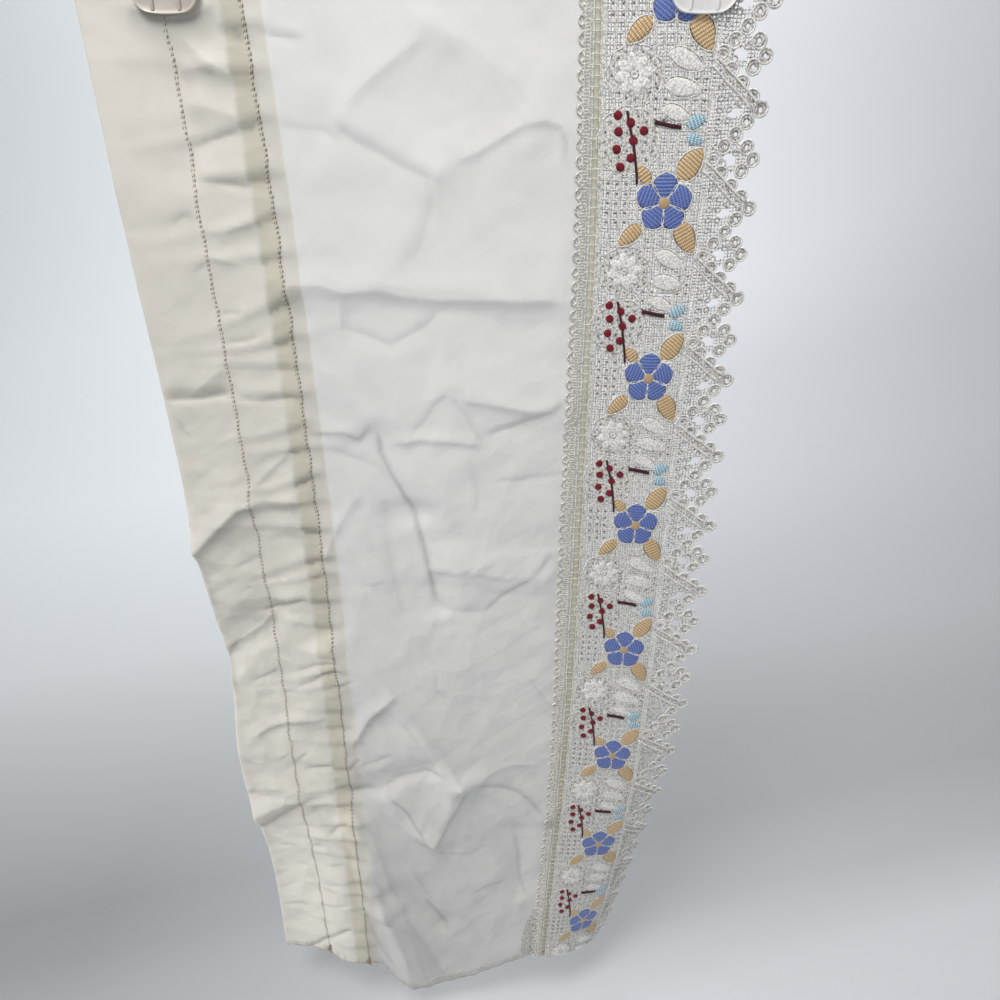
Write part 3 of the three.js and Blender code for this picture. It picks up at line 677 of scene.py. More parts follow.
# %% Floor that sweeps up into a wall
FLOOR_BELOW = 0.05
SWEEP_HALF_WIDTH = 5.0
FLOOR_FRONT = -3.0
WALL_AT = 2.6
BEND_RADIUS = 1.3
WALL_HEIGHT = 3.2
BEND_STEPS = 12
floor_z = cad_low.z - FLOOR_BELOW

sweep_bm = bmesh.new()
profile = [Vector((-SWEEP_HALF_WIDTH, FLOOR_FRONT, floor_z))]
for step in range(BEND_STEPS + 1):
    angle = math.radians(90 * step / BEND_STEPS)
    back = WALL_AT - BEND_RADIUS + BEND_RADIUS * math.sin(angle)
    profile.append(Vector((-SWEEP_HALF_WIDTH, back, floor_z + BEND_RADIUS * (1 - math.cos(angle)))))
profile.append(Vector((-SWEEP_HALF_WIDTH, WALL_AT, floor_z + WALL_HEIGHT)))
corners = [sweep_bm.verts.new(point) for point in profile]
rail = [sweep_bm.edges.new(pair) for pair in zip(corners, corners[1:])]
pulled = bmesh.ops.extrude_edge_only(sweep_bm, edges=rail)
pulled_corners = [item for item in pulled["geom"] if isinstance(item, bmesh.types.BMVert)]
bmesh.ops.translate(sweep_bm, verts=pulled_corners, vec=(2 * SWEEP_HALF_WIDTH, 0, 0))
bmesh.ops.recalc_face_normals(sweep_bm, faces=sweep_bm.faces)
sweep_data = bpy.data.meshes.new("studio_sweep")
sweep_bm.to_mesh(sweep_data)
sweep_bm.free()
sweep_data.shade_smooth()
sweep = bpy.data.objects.new("studio_sweep", sweep_data)
bpy.context.scene.collection.objects.link(sweep)
print("sweep", len(sweep_data.polygons), "faces")

# %% Painted light and shade of the floor and the wall
wall, wall_tree, wall_shader = new_material("pale_wall", (0.74, 0.75, 0.775), 1.0)
wall_shader.inputs["Specular IOR Level"].default_value = 0.0
# Each row: how far back along a slanting line, in metres, and the painted shade there
SHADES_RIGHT = [
    (-0.11, 0.67), (-0.05, 0.66), (0.06, 0.51), (0.20, 0.45), (0.39, 0.49), (0.63, 0.575), (0.98, 0.64),
    (1.37, 0.74), (1.82, 0.81), (2.1, 0.94), (2.6, 0.96),
]
SHADES_LEFT = [
    (-0.11, 0.43), (0.14, 0.37), (0.21, 0.32), (0.28, 0.31), (0.43, 0.41), (0.64, 0.55), (0.9, 0.70),
    (1.26, 0.79), (1.77, 0.90), (2.2, 0.94), (2.6, 0.98),
]
SHADE_SLANT = 0.27
SHADE_FROM, SHADE_TO = -0.15, 2.6
SIDES = (("A", SHADES_LEFT, (0.96, 0.995, 1.02)), ("B", SHADES_RIGHT, (0.97, 0.985, 1.02)))
floor_place = add_node(wall_tree, "ShaderNodeTexCoord")
floor_split = add_node(wall_tree, "ShaderNodeSeparateXYZ")
slant = add_node(wall_tree, "ShaderNodeMath", operation="MULTIPLY_ADD")
slant.inputs[1].default_value = -SHADE_SLANT
how_far = add_node(wall_tree, "ShaderNodeMapRange", From_Min=SHADE_FROM, From_Max=SHADE_TO)
to_right = add_node(wall_tree, "ShaderNodeMapRange", From_Min=-0.5, From_Max=0.0)
floor_mix = add_node(wall_tree, "ShaderNodeMix", data_type="RGBA")
wall_tree.links.new(floor_place.outputs["Object"], floor_split.inputs[0])
wall_tree.links.new(floor_split.outputs["X"], slant.inputs[0])
wall_tree.links.new(floor_split.outputs["Y"], slant.inputs[2])
wall_tree.links.new(slant.outputs[0], how_far.inputs["Value"])
wall_tree.links.new(floor_split.outputs["X"], to_right.inputs["Value"])
wall_tree.links.new(to_right.outputs["Result"], floor_mix.inputs["Factor"])
for side, shades, tint in SIDES:
    floor_ramp = wall_tree.nodes.new("ShaderNodeValToRGB")
    set_ramp(floor_ramp.color_ramp, [
        ((back - SHADE_FROM) / (SHADE_TO - SHADE_FROM), [shade * part for part in tint])
        for back, shade in shades
    ])
    wall_tree.links.new(how_far.outputs["Result"], floor_ramp.inputs["Fac"])
    wall_tree.links.new(floor_ramp.outputs["Color"], floor_mix.inputs[side])
wall_tree.links.new(floor_mix.outputs["Result"], wall_shader.inputs["Base Color"])
sweep_data.materials.append(wall)
print(len(SHADES_RIGHT), "tones on the right,", len(SHADES_LEFT), "on the left")

# %% Lamps
def add_lamp(name, place, aim, size, watts, color=(1, 1, 1), spread=180):
    data = bpy.data.lights.new(name, "AREA")
    data.shape = "DISK"
    data.size = size
    data.energy = watts
    data.spread = math.radians(spread)
    data.color = color
    lamp = bpy.data.objects.new(name, data)
    lamp.location = place
    lamp.rotation_euler = (Vector(aim) - Vector(place)).to_track_quat("-Z", "Y").to_euler()
    bpy.context.scene.collection.objects.link(lamp)


middle_of_cloth = (0, 0, -0.35)
add_lamp("key_above", (-0.35, -0.75, 0.95), middle_of_cloth, 0.6, 15.5, (1.0, 0.99, 0.97))
add_lamp("fill_front", (1.3, -1.9, 0.2), middle_of_cloth, 1.6, 5)
add_lamp("side_left", (-1.3, -0.15, -0.5), (-0.2, 0, -0.75), 0.7, 1.3, spread=60)
add_lamp("wall_wash", (-0.1, 0.9, 1.6), (0.0, 2.6, -0.4), 1.4, 34)

world = bpy.data.worlds.new("soft_sky")
world.use_nodes = True
world.node_tree.nodes["Background"].inputs["Color"].default_value = (0.93, 0.95, 0.98, 1)
world.node_tree.nodes["Background"].inputs["Strength"].default_value = 0.35
bpy.context.scene.world = world
print(len(bpy.data.lights), "lamps")

# %% [markdown]
# ## Fastening pieces
#
# Three helpers serve every piece from here on. `points_of` reads a mesh's points all at once, and
# `put_points` writes them back, so numpy can carry a whole piece to its place in one go. `fasten` gives the
# piece its material, slot and body, and prints how large it is.

# %% Helpers for pieces
def points_of(mesh):
    flat = np.empty(len(mesh.vertices) * 3)
    mesh.vertices.foreach_get("co", flat)
    return flat.reshape(-1, 3)


def put_points(mesh, places):
    mesh.vertices.foreach_set("co", np.asarray(places, np.float32).ravel())
    mesh.update()


def fasten(name, mesh, material):
    """Makes a mesh a piece of the object that rides on its one body."""
    mesh.shade_smooth()
    mesh.materials.clear()
    mesh.materials.append(material)
    piece = bpy.data.objects.new(name, mesh)
    bpy.context.scene.collection.objects.link(piece)
    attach(piece, "root")
    triangles = sum(len(face.vertices) - 2 for face in mesh.polygons)
    print(name, triangles, "triangles")
    return piece


# %% [markdown]
# ## The voile
#
# The panel is one cut of cloth, about 480 mm wide. Read along the cut, it starts with the raw edge turned
# in, folds up behind the second stitch row, runs back across the header, turns over at the top fold and
# comes forward as the face, down to the seam under the lace. Each layer could be a sheet of its own, but
# one flat grid keeps them joined at every fold. Its columns follow that path and its rows run down the
# cloth, with a narrow hem turned back at both ends. Where sharp folds pass, the grid's edges are halved, so
# points go where they show. Solidify then gives the thin cloth its two faces.

# %% Path of the cut across the cloth
LAYER_STEP = 1.6
TURN_IN = 13.5
TURN_OUT = 12.5
VOILE_THICKNESS = 0.22
inner, rear, fold_radius = LAYER_STEP, 2 * LAYER_STEP, LAYER_STEP / 2
turn_shift = TURN_OUT - fold_radius


def arc(station, centre_shift, centre_depth, radius, from_degrees, to_degrees, steps):
    """Section points round a fold, one column each."""
    angles = np.radians(np.linspace(from_degrees, to_degrees, steps + 2)[1:-1])
    return [(1, station, centre_shift + radius * math.cos(a), centre_depth + radius * math.sin(a))
            for a in angles]


# Each row: how many columns lead to it, its station, its shift along X and the depth of its layer
SECTION = [
    (0, 2, -TURN_IN, inner),
    (2, 2, 0, inner),
    (2, 2, turn_shift, inner),
    *arc(2, turn_shift, inner + fold_radius, fold_radius, -90, 90, 2),
    (1, 2, turn_shift, rear),
    (2, 2, 0, rear),
    (2, 2, -TURN_IN, rear),
    (4, 1, 0, rear),
    (5, 0, LAYER_STEP, rear),
    *arc(0, LAYER_STEP, inner, LAYER_STEP, 90, 270, 3),
    (1, 0, LAYER_STEP, 0),
    (17, 1, 0, 0),
    (12, 2, -TURN_IN, 0),
    (5, 2, 0, 0),
    (4, 2, turn_shift, 0),
    (54, 3, 0, 0),
    (4, 4, -1, 0),
]
# Places in SECTION: the far side of the rear's turned-in edge, the face's start, its turned-in edge and row 2
REAR_BAND_END, FACE_FROM, FACE_BAND, FACE_ROW_2 = 7, 13, 15, 16
path_columns = np.cumsum([row[0] for row in SECTION])
path_station, path_shift, path_depth = (np.array([row[k] for row in SECTION], float) for k in (1, 2, 3))
COLUMNS = int(path_columns[-1])
print(len(SECTION), "places along the cut,", COLUMNS, "columns")

# %% Flat width of the cut, and which way its wrong side looks, from the path at mid height
MID_DOWN = 480.0
every_column = np.arange(COLUMNS + 1)
column_station = np.interp(every_column, path_columns, path_station)
column_shift = np.interp(every_column, path_columns, path_shift)
column_depth = np.interp(every_column, path_columns, path_depth)
path_x = across_at(column_station, np.full(COLUMNS + 1, MID_DOWN)) + column_shift
run = np.gradient(np.stack([path_x, column_depth], axis=1), axis=0)
run /= np.linalg.norm(run, axis=1, keepdims=True)
wrong_side = np.stack([-run[:, 1], run[:, 0]], axis=1)
column_cut = np.concatenate([[0], np.cumsum(np.hypot(np.diff(path_x), np.diff(column_depth)))])
CUT_WIDTH = float(column_cut[-1])
print("the cut is", round(CUT_WIDTH), "mm wide")

# %% Rows down the cloth, with a hem turned back at both ends
HEM_DEPTH = 9
HEM_LIFT = 0.5
LENGTH = 957
BODY_ROWS = 288
hem_share = HEM_DEPTH / LENGTH
hem_rows = [(1, 1.0), (1, 0.55), (1, 0.15), (0.5, 0.0)]
row_share = [hem_share * part for _, part in hem_rows]
row_share += [row / BODY_ROWS for row in range(BODY_ROWS + 1)]
row_share += [1 - hem_share * part for _, part in reversed(hem_rows)]
row_lift = [lift for lift, _ in hem_rows] + [0] * (BODY_ROWS + 1) + [lift for lift, _ in reversed(hem_rows)]
row_share, row_lift = np.array(row_share), np.array(row_lift) * HEM_LIFT
ROWS = len(row_share) - 1
every_row = np.arange(ROWS + 1)
row_cut = np.concatenate([[0], np.cumsum(np.abs(np.diff(row_share)) * LENGTH)])
print(ROWS, "rows; the cut is", round(float(row_cut[-1])), "mm long with its hems")

# %% Places of the cut's points
ROW_PINCH = 0.3
ROW_PINCH_REACH = 5.0
HEM_RIPPLE = 1.3
HEM_RIPPLE_REACH = 0.015
HEM_RIPPLE_LENGTHS = 2.9, 10.3


def row_pinch(x, down):
    """The layers lie close together at the stitch rows, and a little apart between them."""
    near = np.minimum(np.abs(x - line_at("row_1", down)), np.abs(x - line_at("row_2", down)))
    return 1 - (1 - ROW_PINCH) * np.exp(-((near / ROW_PINCH_REACH) ** 2))


def hang_column(column, row):
    """Places on the cloth's middle layer, by column and row. A point may lie between two of them."""
    station = np.interp(column, every_column, column_station)
    return hang(station, np.interp(row, every_row, row_share), np.interp(column, every_column, column_shift))


def hang_panel(column, row):
    """The same with the depth of each layer, the hems' lift and the ripple of the lower hem."""
    tables = (column_depth, *wrong_side.T)
    depth, off_x, off_y = (np.interp(column, every_column, values) for values in tables)
    lift = np.interp(row, every_row, row_lift)
    hung = hang_column(column, row)
    pinch = row_pinch(hung[:, 0], -hung[:, 2])
    near_foot = smooth((np.interp(row, every_row, row_share) - 1 + HEM_RIPPLE_REACH) / HEM_RIPPLE_REACH)
    short_wave, long_wave = (np.sin(hung[:, 0] / length) for length in HEM_RIPPLE_LENGTHS)
    hung[:, 2] += near_foot * HEM_RIPPLE * short_wave * long_wave
    hung[:, 0] += lift * off_x
    hung[:, 1] += (depth + lift * off_y) * pinch
    return hung


print("the seam's middle hangs at", hang_panel(np.array([COLUMNS]), np.array([ROWS / 2])).round())

# %% Grid of the cut, finer beside folds
FINE_WITHIN = 2.4
TO_QUARTERS = 4


def grid_places(points):
    """Columns and rows of points of the flat grid, to a quarter."""
    column = np.rint((points[:, 0] + 0.5) * COLUMNS * TO_QUARTERS) / TO_QUARTERS
    return column, np.rint((0.5 - points[:, 1]) * ROWS * TO_QUARTERS) / TO_QUARTERS


panel_bm = bmesh.new()
bmesh.ops.create_grid(panel_bm, x_segments=COLUMNS, y_segments=ROWS, size=0.5)
middles = np.array([face.calc_center_median() for face in panel_bm.faces])
middle_column, middle_row = grid_places(middles)
middle_hung = hang_column(middle_column, middle_row)
to_fold = fold_field(middle_hung[:, 0], -middle_hung[:, 2])[2]
at_folds = (to_fold < FINE_WITHIN) & (middle_column > path_columns[FACE_FROM])
panel_bm.faces.ensure_lookup_table()
fine_edges = {edge for index in np.flatnonzero(at_folds) for edge in panel_bm.faces[index].edges}
bmesh.ops.subdivide_edges(panel_bm, edges=list(fine_edges), cuts=1, use_grid_fill=True)
panel_mesh = bpy.data.meshes.new("voile_sheet")
panel_bm.to_mesh(panel_mesh)
panel_bm.free()
grid_column, grid_row = grid_places(points_of(panel_mesh))
hung_panel = hang_panel(grid_column, grid_row)
put_points(panel_mesh, hung_panel * MM)
print(len(fine_edges), "edges of the grid halved beside folds")
print("voile spans", points_of(panel_mesh).min(0).round(3), points_of(panel_mesh).max(0).round(3))

# %% Painted shade of the folds, blocks, hem and depth, kept with the mesh for the finish to read
# Painted shade over depths down the cloth: in the header it fades out towards the foot, which looks lit, and
# where the cloth is single it grows towards the foot, which looks darker
HEADER_PAINTED_SHADE = (500, 800), (0.14, 0.0)
SINGLE_LAYER_PAINTED_SHADE = (600, 900), (0.0, 0.22)
POCKET_SHARE = 0.95
# Painted shade along the hem, in small scallops as where a drawn-up hem puckers: their length, and a drift
# of it that is slower
HEM_SHADE = 0.5
HEM_SHADE_SHARE = 0.8
DRAWN_WAVE = 1.6
DRAWN_DRIFT, DRIFT_WAVE = 2, 7
on_panel = hung_panel[:, 0], -hung_panel[:, 2]
# Painted shade: the darker of the blocks' and the folds'; the depth's and the hem's are added below
folded = np.maximum(POCKET_SHARE * painted_pocket_shade(*on_panel), fold_field(*on_panel)[1])
single = grid_column > path_columns[FACE_ROW_2]
header_painted_shade, single_painted_shade = (np.interp(on_panel[1], *tones) for tones in (HEADER_PAINTED_SHADE, SINGLE_LAYER_PAINTED_SHADE))
layer_painted_shade = np.where(single, single_painted_shade, header_painted_shade)
folded = layer_painted_shade + (1 - layer_painted_shade) * folded
in_hem = np.interp(grid_row, every_row, row_share) > 1 - HEM_SHADE_SHARE * hem_share
drift = DRAWN_DRIFT * np.sin(hung_panel[:, 0] / DRIFT_WAVE)
hem_shade_scallops = 0.5 + 0.5 * np.sin(hung_panel[:, 0] / DRAWN_WAVE + drift)
folded = np.where(in_hem, np.maximum(folded, HEM_SHADE * hem_shade_scallops**2), folded)
painted_fold_shade = panel_mesh.attributes.new("painted_fold_shade", "FLOAT", "POINT")
painted_fold_shade.data.foreach_set("value", folded.astype(np.float32))
print("mean fold tone", round(float(folded.mean()), 3))


# %% Flat UV map
def set_flat_uv(mesh, across, down):
    """A UV map that is the flat cut itself, in metres."""
    corner = np.empty(len(mesh.loops), int)
    mesh.loops.foreach_get("vertex_index", corner)
    layer = mesh.uv_layers.get("flat_cut") or mesh.uv_layers.new(name="flat_cut")
    flat = np.stack([across[corner], down[corner]], axis=1) * MM
    layer.data.foreach_set("uv", flat.astype(np.float32).ravel())


flat_across = np.interp(grid_column, every_column, column_cut)
flat_down = np.interp(grid_row, every_row, row_cut)
set_flat_uv(panel_mesh, flat_across, flat_down)
print("the UV map is", round(flat_across.max()), "by", round(flat_down.max()), "mm")

# %% [markdown]
# ## The voile's finish
#
# One layer of voile is cool and lets the wall through. Where two layers lie together, in the header, it
# looks ivory, and where three do, at the turned-in edge, it looks olive. One material reads the flat cut's
# UV map, so these bands sit exactly where the layers overlap. The painted shade that the mesh carries
# darkens the steep side of each fold, the blocks beside row 2, the hem, and the cloth by its depth, and the
# crumple's facets get a little painted shade too. A fine weave and a soft crumple in the surface come from
# the UV map too, and each face of the thin sheet is a little see-through.

# %% Bands of one, two and three layers
def at_section(index):
    """How far along the cut a place of SECTION lies, as a share."""
    return float(column_cut[path_columns[index]]) / CUT_WIDTH


SOFT_EDGE = 0.6
RIBBON_WIDTH = 7.5
voile, tree, shader = new_material("voile_weave", (0.70, 0.70, 0.68), 0.72)
uv = add_node(tree, "ShaderNodeUVMap", uv_map="flat_cut")
split = add_node(tree, "ShaderNodeSeparateXYZ")
tree.links.new(uv.outputs["UV"], split.inputs[0])
share_across = add_node(tree, "ShaderNodeMath", operation="DIVIDE")
share_across.inputs[1].default_value = CUT_WIDTH * MM
tree.links.new(split.outputs["X"], share_across.inputs[0])
bands = tree.nodes.new("ShaderNodeValToRGB")
ONE_LAYER, TWO_LAYERS, THREE_LAYERS = (0.81, 0.80, 0.775), (0.93, 0.895, 0.82), (0.88, 0.845, 0.715)
TURNED_EDGE, BEHIND_RIBBON = (0.84, 0.82, 0.755), (0.70, 0.66, 0.50)
rear_band_end, face_band_start, row_2_at = map(at_section, (REAR_BAND_END, FACE_BAND, FACE_ROW_2))
face_band_end = row_2_at + TURN_OUT / CUT_WIDTH
soft_edge = SOFT_EDGE / CUT_WIDTH
ribbon_start = 1 - RIBBON_WIDTH / CUT_WIDTH
set_ramp(bands.color_ramp, [
    (0, THREE_LAYERS), (rear_band_end, THREE_LAYERS), (rear_band_end + soft_edge, TWO_LAYERS),
    (face_band_start - soft_edge, TWO_LAYERS), (face_band_start, THREE_LAYERS),
    (row_2_at, THREE_LAYERS), (row_2_at + soft_edge, TURNED_EDGE), (face_band_end, TURNED_EDGE),
    (face_band_end + soft_edge, ONE_LAYER),
    (ribbon_start, ONE_LAYER), (ribbon_start + soft_edge, BEHIND_RIBBON),
])
tree.links.new(share_across.outputs[0], bands.inputs["Fac"])
print(len(bands.color_ramp.elements), "stops across the cut")

# %% Painted shade of facets and folds
# The painted shade darkens the cloth's colour down to FOLD_DARK
FOLD_DARK = 0.6
FACET_TURN = 0.5
facets = add_node(tree, "ShaderNodeTexVoronoi", voronoi_dimensions="2D", distance="MANHATTAN", Scale=23.0,
                  Detail=1.0, Roughness=0.45)
turned = add_node(tree, "ShaderNodeMapping")
turned.inputs["Rotation"].default_value = (0, 0, FACET_TURN)
tree.links.new(uv.outputs["UV"], turned.inputs["Vector"])
tree.links.new(turned.outputs["Vector"], facets.inputs["Vector"])
# Painted shade of the crumple: a little darker in the facets' low middles, a little lighter at their ridges
tone = add_node(tree, "ShaderNodeMapRange", From_Min=0.0, From_Max=0.8, To_Min=0.97, To_Max=1.03)
tree.links.new(facets.outputs["Distance"], tone.inputs["Value"])
painted_shade_read = add_node(tree, "ShaderNodeAttribute", attribute_name="painted_fold_shade")
fold_dark = add_node(tree, "ShaderNodeMapRange", To_Min=1.0, To_Max=FOLD_DARK)
tree.links.new(painted_shade_read.outputs["Fac"], fold_dark.inputs["Value"])
shade = add_node(tree, "ShaderNodeMath", operation="MULTIPLY")
tree.links.new(tone.outputs["Result"], shade.inputs[0])
tree.links.new(fold_dark.outputs["Result"], shade.inputs[1])
shade_color(tree, shader, bands.outputs["Color"], shade.outputs[0])
print("folds darken the cloth to", FOLD_DARK)

# %% Bumps of crumple and weave
depth = add_node(tree, "ShaderNodeMapRange", From_Min=0.15, From_Max=0.45, To_Min=0.3, To_Max=1.0)
tree.links.new(split.outputs["Y"], depth.inputs["Value"])
crumples = add_node(tree, "ShaderNodeMath", operation="MULTIPLY")
tree.links.new(facets.outputs["Distance"], crumples.inputs[0])
tree.links.new(depth.outputs["Result"], crumples.inputs[1])
weave = add_node(tree, "ShaderNodeMath", operation="MULTIPLY")
for index, direction in enumerate(("X", "Y")):
    threads = add_node(tree, "ShaderNodeTexWave", wave_type="BANDS", bands_direction=direction,
                       Scale=900.0, Detail=0.0)
    tree.links.new(uv.outputs["UV"], threads.inputs["Vector"])
    tree.links.new(threads.outputs["Fac"], weave.inputs[index])
crumple_bump = add_bump(tree, shader, crumples.outputs[0], 1.0, 0.0028)
add_bump(tree, shader, weave.outputs[0], 0.25, 0.0001, over=crumple_bump)
shader.inputs["Alpha"].default_value = 0.62
shader.inputs["Sheen Weight"].default_value = 0.15
shader.inputs["Specular IOR Level"].default_value = 0.25
print("voile finish has", len(tree.nodes), "nodes")

# %% Fasten the voile
voile_panel = fasten("voile_panel_cloth", panel_mesh, voile)
thickness = voile_panel.modifiers.new("cloth_thickness", "SOLIDIFY")
thickness.thickness = VOILE_THICKNESS * MM
thickness.offset = 0
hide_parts("voile_panel")

# %% [markdown]
# ## Thread work, laid flat
#
# The lace is made by machine in thread, with a design that repeats every 127.5 mm. So it is laid flat on
# the table first: X runs out from the scalloped edge, Y runs up, Z stands proud. Each thread, ring or
# stitch is drawn in a small mesh of its own and then poured into the tile. Array modifiers lay the tiles
# end to end, two planes trim them to length, and the hanging function carries every point to its place.
# The other way, thread by thread on the hung cloth, would be slow and uneven.

# %% Sizes of the lace, in millimetres
REPEAT = 127.5
LACE_WIDTH = 135
HEADING_WIDTH = 19.7
BASE_LINE = 92
LACE_PROUD = 1.1
MESH_PITCH = REPEAT / 60
NET_PITCH = REPEAT / 20
PAST_EDGE = 9
LACE_LINES = (0, HEADING_WIDTH, BASE_LINE, LACE_WIDTH, LACE_WIDTH + PAST_EDGE)
LACE_LINE_STATIONS = (3, 4, 5, 6, 6 + PAST_EDGE / (LACE_WIDTH - BASE_LINE))
print("a repeat has", round(REPEAT / MESH_PITCH), "mesh threads and", round(REPEAT / NET_PITCH), "of net")

# %% Hanging flat work
# Small steps in station and share, which give the cloth's slope at a point
STEP_ACROSS, STEP_DOWN = 0.02, 0.002
# How far soft thread strays, and the lengths of its waves over a full turn
UNEVEN_OUT, UNEVEN_ALONG = 0.22, 0.25
QUICK_WAVES = 5.3, 4.1
SLOW_WAVES = 11, 17, 23


def hang_flat(mesh, station, shift=0.0, closer=0.0):
    """Carries flat thread work to its place on the cloth, given the station and shift of each point."""
    flat = points_of(mesh)
    share = -flat[:, 1] / LENGTH
    place = hang(station, share, shift)
    across = hang(station + STEP_ACROSS, share, shift) - place
    downward = hang(station, share + STEP_DOWN, shift) - place
    normal = np.cross(across, downward)
    normal /= np.linalg.norm(normal, axis=1, keepdims=True)
    normal *= np.where(normal[:, 1:2] > 0, -1, 1)
    place[:, 1] -= closer
    put_points(mesh, (place + normal * flat[:, 2:]) * MM)


def hang_lace(mesh):
    """Hangs a flat lace mesh, with the small unevenness that soft thread has."""
    flat = points_of(mesh)
    out, along = flat[:, 0].copy(), -flat[:, 1]
    quick = np.sin(along / QUICK_WAVES[0] + out / SLOW_WAVES[0])
    flat[:, 0] += UNEVEN_OUT * quick * np.sin(along / SLOW_WAVES[1])
    flat[:, 1] -= UNEVEN_ALONG * np.sin(out / QUICK_WAVES[1] + along / SLOW_WAVES[2])
    put_points(mesh, flat)
    hang_flat(mesh, np.interp(flat[:, 0], LACE_LINES, LACE_LINE_STATIONS), closer=LACE_PROUD)


def fasten_lace(flat, finish):
    """Hangs a flat lace mesh and makes it a piece of the lace, under its own name."""
    hang_lace(flat)
    return fasten(flat.name, flat, finish)


print("the lace's edge is at station", LACE_LINE_STATIONS[LACE_LINES.index(LACE_WIDTH)])

# %% Flat points and tiles
def at(out, along, proud=0.0):
    """A flat point, from its distance out and its distance down the band."""
    return Vector((out, -along, proud))


def pour(tile, small):
    """Adds a small bmesh to a tile and frees it. Operators are quick on a mesh that stays small."""
    scratch = bpy.data.meshes.new("scratch")
    small.to_mesh(scratch)
    small.free()
    tile.from_mesh(scratch)
    bpy.data.meshes.remove(scratch)


def finish_tile(name, tile):
    """Turns a tile into a mesh whose faces point outwards."""
    bmesh.ops.recalc_face_normals(tile, faces=tile.faces)
    mesh = bpy.data.meshes.new(name)
    tile.to_mesh(mesh)
    tile.free()
    return mesh


print("the lace's far edge lies at", tuple(at(LACE_WIDTH, 0)))

# %% Bands of repeated tiles
# Points this near are merged, and open edges this near to a band's end belong to its cut
MERGE_WITHIN = 0.01
LARGEST_HOLE = 12


def repeat_mesh(mesh, step, count):
    """Lays copies of a mesh end to end with an Array modifier and returns the longer mesh."""
    holder = bpy.data.objects.new("array_holder", mesh)
    bpy.context.scene.collection.objects.link(holder)
    array = holder.modifiers.new("repeats", "ARRAY")
    array.count = count
    array.use_relative_offset = False
    array.use_constant_offset = True
    array.constant_offset_displace = step
    array.use_merge_vertices = True
    array.merge_threshold = MERGE_WITHIN
    longer = bpy.data.meshes.new_from_object(holder.evaluated_get(bpy.context.evaluated_depsgraph_get()))
    bpy.data.objects.remove(holder)
    bpy.data.meshes.remove(mesh)
    return longer


def trim(mesh, first=0.0):
    """Moves a long flat mesh to its start and cuts off what passes the band's two ends."""
    trimmed = bmesh.new()
    trimmed.from_mesh(mesh)
    bmesh.ops.translate(trimmed, verts=trimmed.verts, vec=(0, -first, 0))
    for end, outward in ((0, 1), (-LENGTH, -1)):
        geometry = trimmed.verts[:] + trimmed.edges[:] + trimmed.faces[:]
        bmesh.ops.bisect_plane(trimmed, geom=geometry, dist=0.001, plane_co=(0, end, 0),
                               plane_no=(0, outward, 0), clear_outer=True)
        cut = [edge for edge in trimmed.edges
               if edge.is_boundary and abs(edge.verts[0].co.y - end) < MERGE_WITHIN]
        bmesh.ops.holes_fill(trimmed, edges=cut, sides=LARGEST_HOLE)
    trimmed.to_mesh(mesh)
    trimmed.free()


def band(name, tile, pitch=REPEAT, first=0.0):
    """A whole flat band from one tile."""
    count = math.ceil((LENGTH - first) / pitch)
    mesh = repeat_mesh(finish_tile(name, tile), (0, -pitch, 0), count)
    mesh.name = name
    trim(mesh, first)
    return mesh


print("a band has", math.ceil(LENGTH / REPEAT), "tiles before it is trimmed")

# %% [markdown]
# ## Threads, cords, rings and stitches
#
# All thread work is laid with four small tools. A straight thread is a ring of points, pulled along by the
# spin operator in steps. A cord is a straight thread, bent through points. A ring is a small circle, spun
# round a centre, and a stitch is a stretched ball. Each comes out closed, and most have only three to six
# sides, because the lace needs thousands of them.

# %% Threads and cords
UPRIGHT = Matrix.Rotation(math.radians(90), 4, "X")
CORD_FLATNESS = 0.8


def lay_thread(tile, start, end, radius, steps, sides=3, flatness=0.7):
    """A straight thread: a small ring of points, pulled out in steps."""
    small = bmesh.new()
    run_vector = end - start
    turn = run_vector.to_track_quat("Y", "Z").to_matrix().to_4x4()
    size = Matrix.Diagonal((radius, 1, radius * flatness, 1))
    bmesh.ops.create_circle(small, segments=sides, radius=1,
                            matrix=Matrix.Translation(start) @ turn @ size @ UPRIGHT)
    bmesh.ops.spin(small, geom=small.edges[:], cent=start, axis=run_vector, angle=0,
                   dvec=run_vector / steps, steps=steps)
    bmesh.ops.holes_fill(small, edges=[edge for edge in small.edges if edge.is_boundary], sides=sides)
    pour(tile, small)


def lay_cord(tile, path, radius, sides=4):
    """A cord through a list of flat points: a straight thread, bent so that each step meets its point."""
    small = bmesh.new()
    steps = len(path) - 1
    lay_thread(small, Vector((0, 0, 0)), Vector((0, steps, 0)), radius, steps, sides, CORD_FLATNESS)
    for vert in small.verts:
        step = min(steps, max(0, round(vert.co.y)))
        ahead = path[min(steps, step + 1)] - path[max(0, step - 1)]
        side = ahead.cross(Vector((0, 0, 1))).normalized()
        lift = side.cross(ahead).normalized()
        vert.co = path[step] + side * vert.co.x + lift * vert.co.z
    pour(tile, small)


print("cords are", CORD_FLATNESS, "as high as wide")

# %% Rings and stitches
RING_SIDES = 4


def lay_ring(tile, centre, radius, half_width, half_height, steps=16, stretch=1.0):
    """A flat ring of thread: a small flattened circle, spun round its centre."""
    small = bmesh.new()
    size = Matrix.Diagonal((half_width, 1, half_height, 1))
    bmesh.ops.create_circle(small, segments=RING_SIDES, radius=1,
                            matrix=Matrix.Translation((radius, 0, 0)) @ size @ UPRIGHT)
    bmesh.ops.spin(small, geom=small.edges[:], cent=(0, 0, 0), axis=(0, 0, 1), angle=2 * math.pi,
                   steps=steps, use_merge=True)
    bmesh.ops.scale(small, verts=small.verts, vec=(1, stretch, 1))
    bmesh.ops.translate(small, verts=small.verts, vec=centre)
    pour(tile, small)


